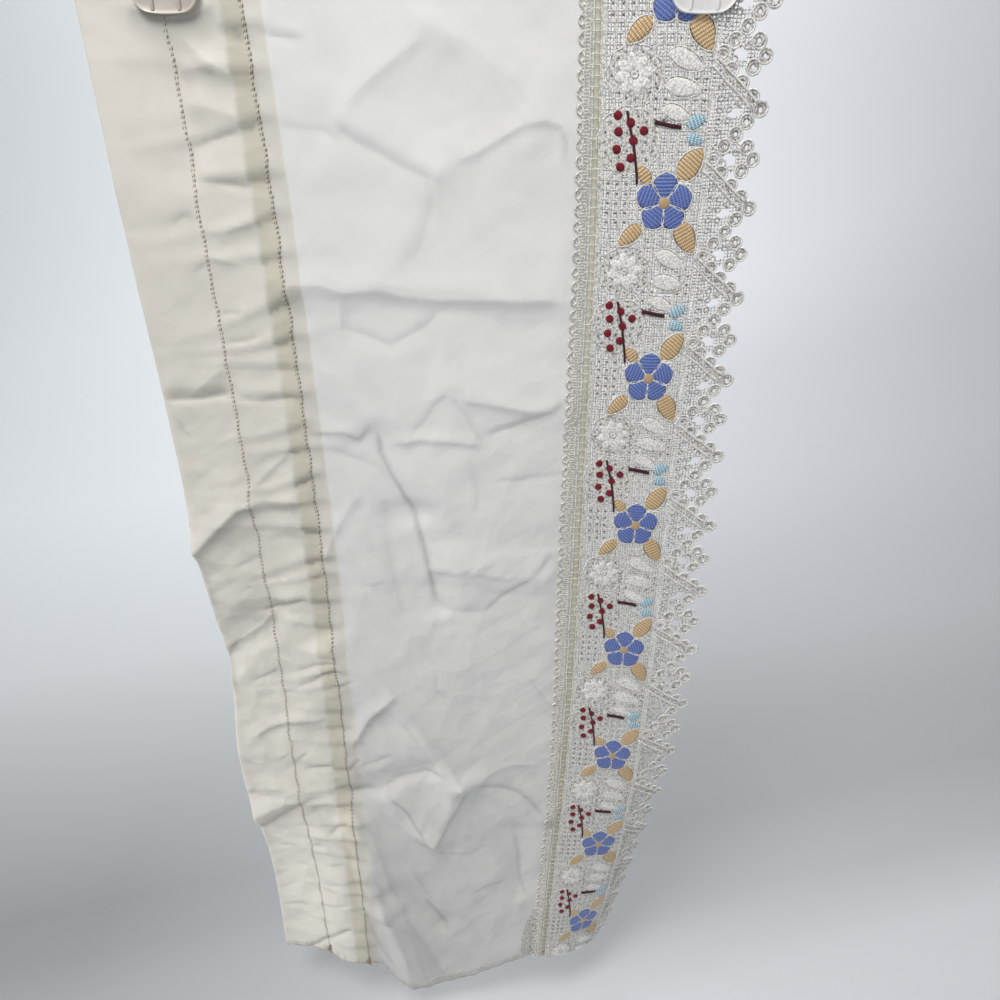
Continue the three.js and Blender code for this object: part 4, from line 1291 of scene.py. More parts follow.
def lay_stitch(tile, middle, direction, length, width, height, segments=6, rings=4):
    """One raised stitch: a small ball, stretched along its direction and flattened."""
    small = bmesh.new()
    turn = direction.to_track_quat("Y", "Z").to_matrix().to_4x4()
    size = Matrix.Diagonal((width / 2, length / 2, height / 2, 1))
    bmesh.ops.create_uvsphere(small, u_segments=segments, v_segments=rings, radius=1,
                              matrix=Matrix.Translation(middle) @ turn @ size @ UPRIGHT)
    pour(tile, small)


sample = bmesh.new()
lay_ring(sample, at(0, 0), 5, 0.5, 0.5)
print("a ring of thread has", len(sample.faces), "faces")
sample.free()

# %% [markdown]
# ## The thread's finish
#
# Lace thread is matt cotton, white with a warm cast. It is twisted and looped, so from a step away it looks
# like fine grains with dark gaps between them. Modelled fibres would be far too many, so a cell texture of
# about the thread's size gives both that shade and the bump. The fill lies below the cords, in their shade,
# so its thread gets a darker colour and deeper gaps as painted shade.

# %% Thread finishes
def thread_finish(name, color, grain=620.0, dark=0.42):
    """Matt twisted thread: cells of its own size give both the shade and the bump."""
    material, tree, shader = new_material(name, color, 0.75)
    coordinates = add_node(tree, "ShaderNodeTexCoord")
    cells = add_node(tree, "ShaderNodeTexVoronoi", Scale=grain)
    tone = add_node(tree, "ShaderNodeMapRange", From_Min=0.15, From_Max=0.8, To_Min=1.08, To_Max=dark)
    tree.links.new(coordinates.outputs["Object"], cells.inputs["Vector"])
    tree.links.new(cells.outputs["Distance"], tone.inputs["Value"])
    shade_color(tree, shader, color, tone.outputs["Result"])
    add_bump(tree, shader, cells.outputs["Distance"], 0.6, 0.0005, invert=True)
    shader.inputs["Sheen Weight"].default_value = 0.2
    shader.inputs["Specular IOR Level"].default_value = 0.35
    return material


white_thread = thread_finish("lace_thread_white", (0.98, 0.965, 0.92), dark=0.6)
# Darker colour and deeper gaps as painted shade, for thread that lies below the cords
shaded_fine_thread = thread_finish("lace_thread_fine_shaded", (0.885, 0.865, 0.815), dark=0.37)
cream_thread = thread_finish("lace_thread_cream", (0.94, 0.92, 0.84), dark=0.5)
print("thread finishes:", [thread.name for thread in (white_thread, shaded_fine_thread, cream_thread)])

# %% [markdown]
# ## Fine mesh of the ground
#
# Between the motifs the ground is a close mesh of thin threads, about two millimetres apart. A sheet with a
# see-through texture would look flat from the side, so every thread is real: one each way is laid and then
# arrayed. The mesh is left open in a few patches, where only the heavier net bridges the gap and the wall
# shows through.

# %% Fine mesh
OPEN_PATCHES = [(37, 51, 25, 35), (64, 79, 63, 73), (70, 84, 118, 125)]
THREAD_STEP = 3.2
FIELD = BASE_LINE - HEADING_WIDTH
FIELD_STEPS = round(FIELD / THREAD_STEP)
LENGTH_STEPS = round(LENGTH / THREAD_STEP)
UNDER_HEADING = 0.5


def crossing_threads(name, pitch, offsets, radius, sides, proud):
    """Threads both ways over the field: one thread each way, arrayed."""
    row, column = bmesh.new(), bmesh.new()
    for offset in offsets:
        start = at(HEADING_WIDTH - UNDER_HEADING, pitch / 4 + offset, proud)
        lay_thread(row, start, start + Vector((FIELD + UNDER_HEADING, 0, 0)), radius, FIELD_STEPS, sides)
        start = at(HEADING_WIDTH + pitch / 4 + offset, 0, proud + radius * 0.8)
        lay_thread(column, start, start - Vector((0, LENGTH, 0)), radius, LENGTH_STEPS, sides)
    rows = repeat_mesh(finish_tile(name, row), (0, -pitch, 0), int(LENGTH / pitch))
    columns = repeat_mesh(finish_tile(name, column), (pitch, 0, 0), int(FIELD / pitch))
    both = bmesh.new()
    both.from_mesh(rows)
    both.from_mesh(columns)
    bpy.data.meshes.remove(rows)
    bpy.data.meshes.remove(columns)
    return both


fine = crossing_threads("lace_ground_mesh", MESH_PITCH, (0,), 0.56, 3, 0.1)
open_faces = []
for face in fine.faces:
    middle = face.calc_center_median()
    along = -middle.y % REPEAT
    if any(o1 < middle.x < o2 and a1 < along < a2 for o1, o2, a1, a2 in OPEN_PATCHES):
        open_faces.append(face)
bmesh.ops.delete(fine, geom=open_faces, context="FACES")
lace_ground = fasten_lace(finish_tile("lace_ground_mesh", fine), shaded_fine_thread)

# %% [markdown]
# ## Heavier net
#
# Over the fine mesh lies a square net of paired threads, 6.4 mm apart. Pairs look like one ribbed bar from
# afar and like two threads from near, as on the real lace. It is laid by the same helper as the fine mesh.

# %% Net of paired threads
PAIR = 0.55
net = crossing_threads("lace_net", NET_PITCH, (-PAIR, PAIR), 0.42, 4, 0.5)
lace_net = fasten_lace(finish_tile("lace_net", net), white_thread)

# %% [markdown]
# ## Heading
#
# The lace is sewn to the voile by its heading. From the edge inwards it has a row of small loops, a thick
# braid, a dark slot, a thin cord, a ladder over the voile's folded edge, and one more cord. The braid is a
# chevron of slanting stitches. A machine repeats all this exactly, so one tile is enough: it holds twelve
# loops, sixty rows of braid and twenty rungs.

# %% Loops and braid
LOOPS = 12
LOOP_PITCH = REPEAT / LOOPS
LOOP_FOOT, LOOP_REACH = 7.0, 5.6
ARCH_STEPS = 12
BRAID_ROWS = 60
# Each row of the braid: how far out it lies and which way its stitches lean
BRAID = ((7.5, 0.6), (9.4, -0.6))

heading = bmesh.new()
for loop in range(LOOPS):
    middle = (loop + 0.5) * LOOP_PITCH
    lay_ring(heading, at(4.0, middle, 0.1), 2.2, 0.9, 0.45, steps=14, stretch=1.3)
    shares = [k / ARCH_STEPS for k in range(ARCH_STEPS + 1)]
    arch = [at(LOOP_FOOT - LOOP_REACH * math.sin(math.pi * share), middle + LOOP_PITCH * (share - 0.5), 0.5)
            for share in shares]
    lay_cord(heading, arch, 0.55)
for row in range(BRAID_ROWS):
    for out, lean in BRAID:
        lay_stitch(heading, at(out, (row + 0.5) * MESH_PITCH, 0.5), Vector((1, lean, 0)), 2.7, 1.25, 1.3)
print(len(heading.faces), "faces in loops and braid")

# %% Ladder and cords
RUNGS = 20
# Each cord: how far out it lies and its radius
HEADING_CORDS = ((6.4, 0.45), (10.5, 0.45), (12.9, 0.6), (18.6, 0.6), (19.9, 0.5))
for row in range(RUNGS):
    along = (row + 0.25) * NET_PITCH
    lay_thread(heading, at(10, along, 0.5), at(19, along, 0.5), 0.5, 3, sides=4)
    along += NET_PITCH / 2
    lay_thread(heading, at(10, along, 0.3), at(13, along, 0.3), 0.4, 1, sides=4)
for out, radius in HEADING_CORDS:
    lay_thread(heading, at(out, 0, 0.6), at(out, REPEAT, 0.6), radius, 40, sides=5, flatness=0.9)
lace_heading = fasten_lace(band("lace_heading", heading), cream_thread)

# %% [markdown]
# ## Loose loop at the foot
#
# In the photo the heading has come loose near the foot, and a loop of its edge stands off the voile. To
# bend the heading's tile would bend every repeat, so the loop is a cord of its own through eight measured
# places, and short threads tie it to the seam.

# %% Loose loop
LOOSE_TIE_PITCH = 2.1
LOOSE_LOOP = np.array([
    (0.5, 872), (-2, 880), (-5.5, 893), (-8.5, 910), (-10.5, 928), (-11.5, 945), (-9, 953), (0, 954),
])
loose = bmesh.new()
loop_shares = np.linspace(0, len(LOOSE_LOOP) - 1, 40)
loop_out, loop_along = (np.interp(loop_shares, np.arange(len(LOOSE_LOOP)), part) for part in LOOSE_LOOP.T)
lay_cord(loose, [at(out, along, 1.2) for out, along in zip(loop_out, loop_along)], 0.5)
for along in np.arange(884, 953, LOOSE_TIE_PITCH):
    loop_end = at(np.interp(along, loop_along, loop_out), along + 1, 0.2)
    lay_thread(loose, at(2, along, 0.2), loop_end, 0.6, 3)
loose_flat = finish_tile("lace_loose_loop", loose)
hang_flat(loose_flat, np.full(len(loose_flat.vertices), 3.0), points_of(loose_flat)[:, 0], LACE_PROUD)
lace_loop = fasten("lace_loose_loop", loose_flat, shaded_fine_thread)

# %% [markdown]
# ## Pointed edging
#
# The edging has two points in each repeat. A satin bar runs slanting out from the base line to the tip,
# rings follow it on one side and come back in on the other, and three more rings make a small point
# between. The triangle inside is filled with mesh and eyelets. All of it is one 63.75 mm unit.

# %% Rings of the edging
POINT_PITCH = REPEAT / 2
FIRST_POINT = -14.5
RING_PLACES = [
    (5, -2), (12, 5.6), (20, 13.8), (28.2, 21.8), (35.3, 29.7), (26.6, 36.8), (19.8, 44.7),
    (12.4, 52.3), (5.6, 59.6), (28.6, 52.9), (33.8, 61.5), (26.6, 68.2),
]
TIP_RING = RING_PLACES[4]
RING_RADIUS = 5.0

rings, bars = bmesh.new(), bmesh.new()
for out, along in RING_PLACES:
    lay_ring(rings, at(BASE_LINE + out, along, 0.75), RING_RADIUS - 0.3, 0.75, 0.7, steps=22)
lay_ring(rings, at(BASE_LINE + TIP_RING[0], TIP_RING[1], 0.75), RING_RADIUS + 0.5, 0.35, 0.35, steps=22)
print(len(RING_PLACES), "rings a unit")

# %% Satin bars
BAR_ENDS = ((1.0, 1.0), (31.0, 28.0))
BAR_WIDTH = 3.6
BAR_CORD = 0.95
BAR_STITCH_PITCH = 1.45
bar_start, bar_end = (at(BASE_LINE + out, along) for out, along in BAR_ENDS)
bar_run = bar_end - bar_start
bar_side = bar_run.cross(Vector((0, 0, 1))).normalized()
bar_stitches = round(bar_run.length / BAR_STITCH_PITCH)
for k in range(bar_stitches):
    middle = bar_start + bar_run * ((k + 0.5) / bar_stitches) + Vector((0, 0, 0.8))
    lay_stitch(bars, middle, bar_side, BAR_WIDTH, 0.95, 1.2)
for side in (-1, 1):
    shift = bar_side * side * (BAR_WIDTH / 2 + BAR_CORD) + Vector((0, 0, 1.5))
    lay_thread(rings, bar_start + shift, bar_end + shift, BAR_CORD, 14, sides=4)
print(bar_stitches, "stitches across each bar")

# %% Base line: a row of stitches between two cords
BASE_CORDS = -0.6, 2.6
BASE_STITCHES = 30
for out in BASE_CORDS:
    lay_thread(rings, at(BASE_LINE + out, 0, 0.9), at(BASE_LINE + out, POINT_PITCH, 0.9), 0.55, 20, sides=5)
for row in range(BASE_STITCHES):
    lay_stitch(rings, at(BASE_LINE + 1, (row + 0.5) * MESH_PITCH, 0.6), Vector((1, 0.3, 0)), 2.6, 1.1, 1.1)
lace_edging = fasten_lace(band("lace_edging", rings, POINT_PITCH, FIRST_POINT), white_thread)

# %% [markdown]
# ## Mesh inside the points
#
# The points are filled with crossing threads. A full mesh could be cut to the outline, but it is simpler
# to end each thread where the rings and bars do. Two windows are left open in each unit. A flat ring fills
# each outer ring, so that only its middle stays open, and small eyelets stand in rows between.

# %% Threads of the points
# How far the fill reaches out from the base line, by the distance down one unit
REACH = [(0, 29), (4, 25), (6.5, 12), (14, 18.5), (22, 26.5), (29.5, 32), (36, 25), (44.5, 18.5), (48, 20),
         (53, 27), (61, 32), (63.75, 30)]
FILL_ROWS = 28
FILL_COLUMNS = np.arange(2.5, 32, 2.4)
SHORTEST_THREAD = 3


def reach_at(along):
    return float(np.interp(along, *zip(*REACH)))


for row in range(FILL_ROWS):
    along = (row + 0.5) * POINT_PITCH / FILL_ROWS
    reach = reach_at(along)
    steps = max(2, round(reach / THREAD_STEP))
    lay_thread(bars, at(BASE_LINE, along, 0.1), at(BASE_LINE + reach, along, 0.1), 0.5, steps)
for out in FILL_COLUMNS:
    inside = [along for along in np.arange(0, POINT_PITCH, 0.5) if reach_at(along) >= out]
    gaps = [k for k in range(1, len(inside)) if inside[k] - inside[k - 1] > 1]
    for part in np.split(np.array(inside), gaps):
        if part[-1] - part[0] > SHORTEST_THREAD:
            lay_thread(bars, at(BASE_LINE + out, part[0], 0.3), at(BASE_LINE + out, part[-1], 0.3), 0.45,
                       max(2, round((part[-1] - part[0]) / THREAD_STEP)))
print(len(bars.faces), "faces in bars and fill")

# %% Windows and eyelets of the points
# Each window: its middle and its half sizes, out and along
WINDOWS = [(17.5, 31, 4.4, 2.4), (17.5, 60.5, 4.2, 4.0)]
EYELETS = [(6.5, 15), (6.5, 22), (6.5, 29), (6.5, 36), (6.5, 43), (13, 22), (13, 29), (13, 36), (19.5, 25.5),
           (21, 56), (13, 63), (6.5, 52)]
gone = []
for face in bars.faces:
    middle = face.calc_center_median() - at(BASE_LINE, 0)
    if any(abs(middle.x - w[0]) < w[2] and abs(-middle.y - w[1]) < w[3] for w in WINDOWS):
        gone.append(face)
bmesh.ops.delete(bars, geom=gone, context="FACES")
for out, along in RING_PLACES:
    lay_ring(bars, at(BASE_LINE + out, along, 0.4), 3.0, 1.75, 0.35, steps=18)
for out, along in EYELETS:
    lay_ring(bars, at(BASE_LINE + out, along, 0.6), 1.9, 0.75, 0.5, steps=10)
lace_fill = fasten_lace(band("lace_point_mesh", bars, POINT_PITCH, FIRST_POINT), shaded_fine_thread)

# %% [markdown]
# ## Satin-stitched motifs
#
# The lace's coloured design is a plain spray that repeats: blue flowers, tan leaves, crimson berries on a
# maroon stem and pale blue buds, with a white daisy and white leaves between. Embroidery stands up from its
# ground, so a texture alone wouldn't do. Each shape is a low pad of side-by-side threads: a flat grid is
# shaped to the petal or leaf, raised to a dome, and ribbed across. White cords outline the shapes.

# %% Pads of satin stitch
RIB_PITCH, RIB_DEPTH = 2.4, 0.28
PAD_WIDE = 8
PAD_STEP = 0.8
PAD_PROUD = 0.3
PAD_TIP = 0.02
PAD_ROUNDNESS = 0.7


def half_width_at(u, width, fullness):
    """Half the width of a leaf or petal, by the share of its length."""
    return width / 2 * math.sin(math.pi * u**fullness) ** PAD_ROUNDNESS if 0 < u < 1 else PAD_TIP


def lay_pad(tile, base, tip, width, height=1.2, fullness=0.8):
    """A domed leaf or petal from its base to its tip, ribbed crosswise."""
    small = bmesh.new()
    spine = tip - base
    long_steps = max(8, round(spine.length / PAD_STEP))
    ribs = spine.length / RIB_PITCH
    bmesh.ops.create_grid(small, x_segments=PAD_WIDE, y_segments=long_steps, size=1)
    side = spine.cross(Vector((0, 0, 1))).normalized()
    stitch_map = small.loops.layers.uv.new("stitches")
    for vert in small.verts:
        u, v = (vert.co.y + 1) / 2, vert.co.x
        half = half_width_at(u, width, fullness)
        rib = 1 - RIB_DEPTH + RIB_DEPTH * abs(math.sin(math.pi * ribs * u))
        dome = math.sqrt(max(0, 1 - v * v)) * math.sqrt(max(0, math.sin(math.pi * u)))
        for loop in vert.link_loops:
            loop[stitch_map].uv = (u * spine.length * MM, v * half * MM)
        vert.co = base + spine * u + side * (v * half) + Vector((0, 0, PAD_PROUD + height * dome * rib))
    bmesh.ops.contextual_create(small, geom=[edge for edge in small.edges if edge.is_boundary])
    pour(tile, small)


print("ribs lie", RIB_PITCH, "mm apart on each pad")

# %% Cords round the pads
OUTLINE_STEPS = 12
OUTLINE_OFF, OUTLINE_RADIUS = 0.5, 0.45


def lay_outline(tile, base, tip, width, fullness=0.8):
    """A cord round the edge of a pad."""
    spine = tip - base
    side = spine.cross(Vector((0, 0, 1))).normalized()
    shares = [k / OUTLINE_STEPS for k in range(OUTLINE_STEPS + 1)]
    loop = [(u, 1) for u in shares] + [(u, -1) for u in reversed(shares)]
    path = []
    for u, v in loop:
        offset = v * (half_width_at(u, width, fullness) + OUTLINE_OFF)
        path.append(base + spine * u + side * offset + Vector((0, 0, 0.6)))
    lay_cord(tile, path, OUTLINE_RADIUS)


print("an outline has", 2 * (OUTLINE_STEPS + 1), "points")


# %% Knots, and petals round a centre
def lay_berry(tile, centre, radius, height=1.1, subdivisions=2):
    """A low round knot."""
    small = bmesh.new()
    place = Matrix.Translation(centre) @ Matrix.Diagonal((radius, radius, height, 1))
    bmesh.ops.create_icosphere(small, subdivisions=subdivisions, radius=1, matrix=place)
    pour(tile, small)


def petals_of(centre, gap, reach, count, turn):
    """Base and tip of each petal round a centre."""
    for k in range(count):
        angle = 2 * math.pi * k / count + turn
        way = Vector((math.cos(angle), math.sin(angle), 0))
        yield centre + way * gap, centre + way * reach


print("four petals end at", [tip.to_tuple(0) for _, tip in petals_of(at(0, 0), 2, 20, 4, 0)])

# %% Places of one spray
SPRAY_MIDDLE = 40.0
FLOWER, DAISY = (46, 34), (21, 82)
# Each leaf or bud: its base, its tip and its width
LEAVES = [
    ((55, 19), (70, -2), 15), ((57, 46), (70, 68), 15), ((31, 49), (15, 64), 11), ((35, 22), (26, 10), 9),
]
BUDS = [((57, -15), (70, -21), 9), ((58, -8), (70, -6), 8)]
WHITE_LEAVES = [((43, 68), (66, 78), 12), ((41, 87), (66, 91), 12), ((41, 101), (60, 108), 10)]
BERRIES = [(11, -21), (20, -17), (12, -11), (22, -6), (11, 0), (21, 5), (14, 11), (29, -12)]


def spot(out, along, proud=0.6):
    """A place on the field, out from the ribbon and down from the middle of the spray."""
    return at(HEADING_WIDTH + out, along + SPRAY_MIDDLE, proud)


blue, tan, crimson, maroon, pale_blue, white = (bmesh.new() for _ in range(6))
print(len(LEAVES) + len(WHITE_LEAVES), "leaves and", len(BERRIES), "berries in a spray")

# %% Blue flower and tan leaves
for base, tip in petals_of(spot(*FLOWER), 2.5, 20.5, 5, 0.3):
    lay_pad(blue, base, tip, 17, fullness=1.25)
    lay_outline(white, base, tip, 17, fullness=1.25)
for start, end, width in LEAVES:
    lay_pad(tan, spot(*start), spot(*end), width)
    lay_outline(white, spot(*start), spot(*end), width)
lay_berry(tan, spot(*FLOWER, 1.1), 4.4)
print(len(blue.faces), "faces of blue,", len(tan.faces), "of tan")

# %% Berries, stems and buds
for out, along in BERRIES:
    lay_berry(crimson, spot(out, along, 1.0), 3.1)
stem = [spot(17 + 9 * math.sin(k / 8), -24 + 46 * k / 11, 1.1) for k in range(12)]
lay_cord(maroon, stem, 1.0, sides=6)
bud_stem = [spot(36 + k * 4.4, -17 + 0.6 * k, 1.1) for k in range(5)]
lay_cord(maroon, bud_stem, 1.6, sides=6)
for start, end, width in BUDS:
    lay_pad(pale_blue, spot(*start), spot(*end), width)
print(len(crimson.faces), "faces of crimson,", len(maroon.faces), "of maroon")

# %% White daisy and leaves
for base, tip in petals_of(spot(*DAISY), 2.5, 13.5, 8, 0.2):
    lay_pad(white, base, tip, 8, height=0.9)
lay_ring(white, spot(*DAISY, 1.2), 1.6, 0.8, 0.6, steps=12)
for start, end, width in WHITE_LEAVES:
    lay_pad(white, spot(*start), spot(*end), width, height=0.9)
    lay_outline(white, spot(*start), spot(*end), width)
print(len(white.faces), "faces of white")

# %% [markdown]
# ## Medallions and eyelets
#
# Two thin round fills of close thread with scalloped edges lie under the berries and the daisy. Each is a
# flat profile, spun round. The deep eyelets between the motifs are in shade, because no light reaches their
# foot, so each gets a small dark bead of painted shade.

# %% Medallions
LOBES, LOBE_DEPTH = 9, 0.09
FILL_HEIGHT = 0.5
FILL_STEPS, SCALLOP_STEPS = 54, 72


def lay_medallion(tile, centre, radius):
    """A thin round fill of close thread with a scalloped edge: a flat profile, spun."""
    small = bmesh.new()
    profile = [(0, FILL_HEIGHT), (0.35, FILL_HEIGHT), (0.7, FILL_HEIGHT), (0.94, FILL_HEIGHT * 0.8),
               (1, 0.1), (0.6, -0.1), (0, -0.1)]
    corners = [small.verts.new((share * radius, 0, z)) for share, z in profile]
    rail = [small.edges.new(pair) for pair in zip(corners, corners[1:])]
    bmesh.ops.spin(small, geom=corners + rail, cent=(0, 0, 0), axis=(0, 0, 1), angle=2 * math.pi,
                   steps=FILL_STEPS, use_merge=True)
    bmesh.ops.remove_doubles(small, verts=small.verts, dist=0.001)
    for vert in small.verts:
        share = math.hypot(vert.co.x, vert.co.y) / radius
        angle = math.atan2(vert.co.y, vert.co.x)
        swell = 1 + LOBE_DEPTH * share**3 * abs(math.sin(angle * LOBES / 2))
        vert.co.x *= swell
        vert.co.y *= swell
    bmesh.ops.translate(small, verts=small.verts, vec=centre)
    pour(tile, small)


def scallop(centre, radius):
    """Points round a medallion's edge, for its outline cord."""
    points = []
    for k in range(SCALLOP_STEPS + 1):
        angle = 2 * math.pi * k / SCALLOP_STEPS
        reach = radius * (1 + LOBE_DEPTH * abs(math.sin(angle * LOBES / 2)))
        points.append(centre + Vector((math.cos(angle), math.sin(angle), 0)) * reach)
    return points


# Each medallion: its middle, out and along, and its radius
MEDALLIONS = [(19, -5, 20.5), (*DAISY, 17.5)]
EYELETS_ROUND = (7, 12, 16)
medallions, eyelets = bmesh.new(), bmesh.new()
for out, along, radius in MEDALLIONS:
    lay_medallion(medallions, spot(out, along, 0.3), radius)
    lay_cord(white, scallop(spot(out, along, 0.9), radius), 0.5)
    # A dark bead of painted shade in each eyelet of the fill
    for ring, count in enumerate(EYELETS_ROUND):
        for hole, _ in petals_of(spot(out, along, 0.75), (ring + 1) * radius / 3.6, 1, count, ring):
            lay_berry(eyelets, hole, 1.1, 0.35, 1)
print(len(medallions.faces), "faces of close fill")

# %% Beads of painted shade in the eyelets between the motifs
# Each grid: its first eyelet, out and along, and its columns and rows
EYELET_GRIDS = [(6, 22, 3, 5), (36, -38, 2, 4), (60, 4, 1, 6), (62, 84, 2, 3), (8, 105, 4, 2)]
for first_out, first_along, columns, rows in EYELET_GRIDS:
    for column in range(columns):
        for row in range(rows):
            hole = spot(first_out + column * NET_PITCH, first_along + row * NET_PITCH, 0.6)
            lay_berry(eyelets, hole, 1.2, 0.35, 1)
print(len(eyelets.faces), "faces of eyelets")

# %% [markdown]
# ## The satin's finish
#
# Satin stitch shines along its threads and is dark between its rows. Single stitches are too fine to model,
# so two wave textures on each pad's own stitch map give the rows and the short stitches that cross them, as
# painted highlight and shade and as bump.

# %% Satin finish
SATIN_STITCH = 1.3


def wave_scale(pitch):
    """The Wave texture's scale for bands at a pitch in millimetres, on coordinates in metres."""
    return 2 * math.pi / (20 * pitch * MM)


def satin_finish(name, color):
    """Glossy embroidery thread: rows lie across each pad in short stitches, read from its stitch map."""
    material, tree, shader = new_material(name, color, 0.5)
    uv = add_node(tree, "ShaderNodeUVMap", uv_map="stitches")
    rows = add_node(tree, "ShaderNodeTexWave", wave_type="BANDS", bands_direction="X",
                    Phase_Offset=-math.pi / 2, Scale=wave_scale(RIB_PITCH), Distortion=1.2, Detail=2.0,
                    Detail_Scale=3.0)
    stitches = add_node(tree, "ShaderNodeTexWave", wave_type="BANDS", bands_direction="Y",
                        Scale=wave_scale(SATIN_STITCH), Distortion=5.0, Detail=2.0, Detail_Scale=1.5)
    threads = add_node(tree, "ShaderNodeMath", operation="MULTIPLY_ADD")
    threads.inputs[1].default_value = 0.7
    # Painted highlight on the threads, up to 1.62 times the colour, and painted shade between the rows
    shade = add_node(tree, "ShaderNodeMapRange", From_Min=0.0, From_Max=1.7, To_Min=0.4, To_Max=1.62)
    for wave in (rows, stitches):
        tree.links.new(uv.outputs["UV"], wave.inputs["Vector"])
    tree.links.new(stitches.outputs["Fac"], threads.inputs[0])
    tree.links.new(rows.outputs["Fac"], threads.inputs[2])
    tree.links.new(threads.outputs[0], shade.inputs["Value"])
    shade_color(tree, shader, color, shade.outputs["Result"])
    add_bump(tree, shader, threads.outputs[0], 0.9, 0.0004)
    shader.inputs["Sheen Weight"].default_value = 0.3
    return material


print("rows need a wave scale of", round(wave_scale(RIB_PITCH), 1))

# %% Hang the motifs
MOTIFS = [
    ("satin_blue", blue, satin_finish("satin_blue", (0.125, 0.19, 0.50))),
    ("satin_tan", tan, satin_finish("satin_tan", (0.66, 0.46, 0.25))),
    ("satin_crimson", crimson, thread_finish("knots_crimson", (0.26, 0.003, 0.02))),
    ("satin_maroon", maroon, thread_finish("knots_maroon", (0.075, 0.006, 0.012))),
    ("satin_pale_blue", pale_blue, satin_finish("satin_pale_blue", (0.42, 0.62, 0.72))),
    ("satin_white", white, white_thread),
    ("lace_medallions", medallions, thread_finish("lace_thread_close", (0.90, 0.885, 0.84))),
    # Dark beads of painted shade in the eyelets
    ("lace_eyelet_shade_beads", eyelets, thread_finish("eyelet_painted_shade", (0.34, 0.31, 0.29))),
]
motifs = [fasten_lace(band(name, tile, first=-REPEAT / 2), finish) for name, tile, finish in MOTIFS]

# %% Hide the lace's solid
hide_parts("lace_border")
print(len(motifs), "pieces of the lace are motifs")

# %% [markdown]
# ## Stitch rows
#
# Two rows of stitching hold the header, about three millimetres a stitch. In the photo each shows a pale
# thread with a dark line beside it: olive at the first row, brown at the second. The dark line is laid as
# thread, and stands partly for the pale thread's shadow, as painted shadow. A cord would look unbroken,
# so a tile of single stitches is laid with small chance in their lengths and leans, repeated down the band,
# and hung with a slight waver. A last row of pale stitches holds the hem, and a knot with a tail ends each
# row.

# %% Rows of stitches
STITCH_PITCH = 3.4
SURFACE_GAP = 0.3
# How far a row wavers, and the lengths of its two waves over a full turn
ROW_WAVER, WAVER_WAVES = 0.9, (17, 6.1)
brown_thread = thread_finish("sewing_thread_brown", (0.34, 0.27, 0.18), grain=900.0, dark=0.6)
olive_thread = thread_finish("sewing_thread_olive", (0.45, 0.41, 0.30), grain=900.0, dark=0.6)
pale_thread = thread_finish("sewing_thread_pale", (0.76, 0.70, 0.57), grain=900.0, dark=0.6)
# Each row: its station, its shift along X, its thread
# The olive and brown rows are thread, and partly painted shadow beside the pale rows
ROWS_OF_STITCHES = (
    (1, 0.3, olive_thread), (1, -0.9, pale_thread), (2, 0.9, brown_thread), (2, -0.6, pale_thread),
)
STITCHES_A_TILE = 17


def lay_row_stitch(tile, out, along, direction):
    """One stitch of a seam, with a little chance in its size."""
    size = dice.uniform(2.0, 3.3), dice.uniform(0.7, 1.15), 0.8
    lay_stitch(tile, at(out, along, SURFACE_GAP), direction, *size)


for number, (station, shift, finish) in enumerate(ROWS_OF_STITCHES):
    stitches = bmesh.new()
    for k in range(STITCHES_A_TILE):
        lean = Vector((dice.uniform(0.05, 0.5), 1, 0))
        lay_row_stitch(stitches, dice.uniform(-0.45, 0.45), (k + 0.5) * STITCH_PITCH, lean)
    flat = band(f"stitch_row_{number + 1}", stitches, STITCH_PITCH * STITCHES_A_TILE)
    out, along, _ = points_of(flat).T
    slow, quick = along / WAVER_WAVES[0], along / WAVER_WAVES[1]
    waver = ROW_WAVER * np.sin(slow + station) * np.sin(quick)
    hang_flat(flat, np.full(len(flat.vertices), float(station)), shift + out + waver)
    fasten(flat.name, flat, finish)

# %% Hem stitches and the knots that end the rows
HEM_STITCHES_UP = 6.5
HEM_FROM_FOLD, HEM_FROM_RIBBON = 4, 12
hem_stations = np.arange(5)
hem_lines = across_at(hem_stations.astype(float), np.full(len(hem_stations), float(LENGTH)))
hem_thread, knots = bmesh.new(), bmesh.new()
for out in np.arange(hem_lines[0] + HEM_FROM_FOLD, hem_lines[-1] - HEM_FROM_RIBBON, STITCH_PITCH):
    lay_row_stitch(hem_thread, out, LENGTH - HEM_STITCHES_UP + dice.uniform(-0.5, 0.5), Vector((1, 0.1, 0)))
for out in hem_lines[1:3]:
    lay_stitch(knots, at(out, LENGTH - 5, 1.0), Vector((1, 0.6, 0)), 6.5, 4.5, 2.4, segments=10, rings=6)
    lay_stitch(knots, at(out + 1, LENGTH - 9, 0.9), Vector((0.2, 1, 0)), 7.0, 2.6, 1.8, segments=10, rings=6)
    tail = [at(out + 2.5 * math.sin(k / 2), LENGTH - 4 + 1.3 * k, 1.0) for k in range(4)]
    lay_cord(knots, tail, 0.5)
for name, tile, finish in (("hem_stitches", hem_thread, pale_thread), ("thread_knots", knots, brown_thread)):
    flat = finish_tile(name, tile)
    hang_flat(flat, np.interp(points_of(flat)[:, 0], hem_lines, hem_stations))
    fasten(name, flat, finish)

# %% [markdown]
# ## Clips
#
# Two plain plastic clips hold the upper end: a beige one on the header, its beige darkened part way as
# painted shade, and a white one on the lace. The rear jaws and the steel pins keep the imported solids and
# only get a finish here. Moulded plastic has a fine grain, and the sunk face of a front jaw gets painted
# shade, a little darker than its rim.

# %% Plastic and steel
# Painted shade of a jaw's sunk face
SUNK_SHADE = 0.77


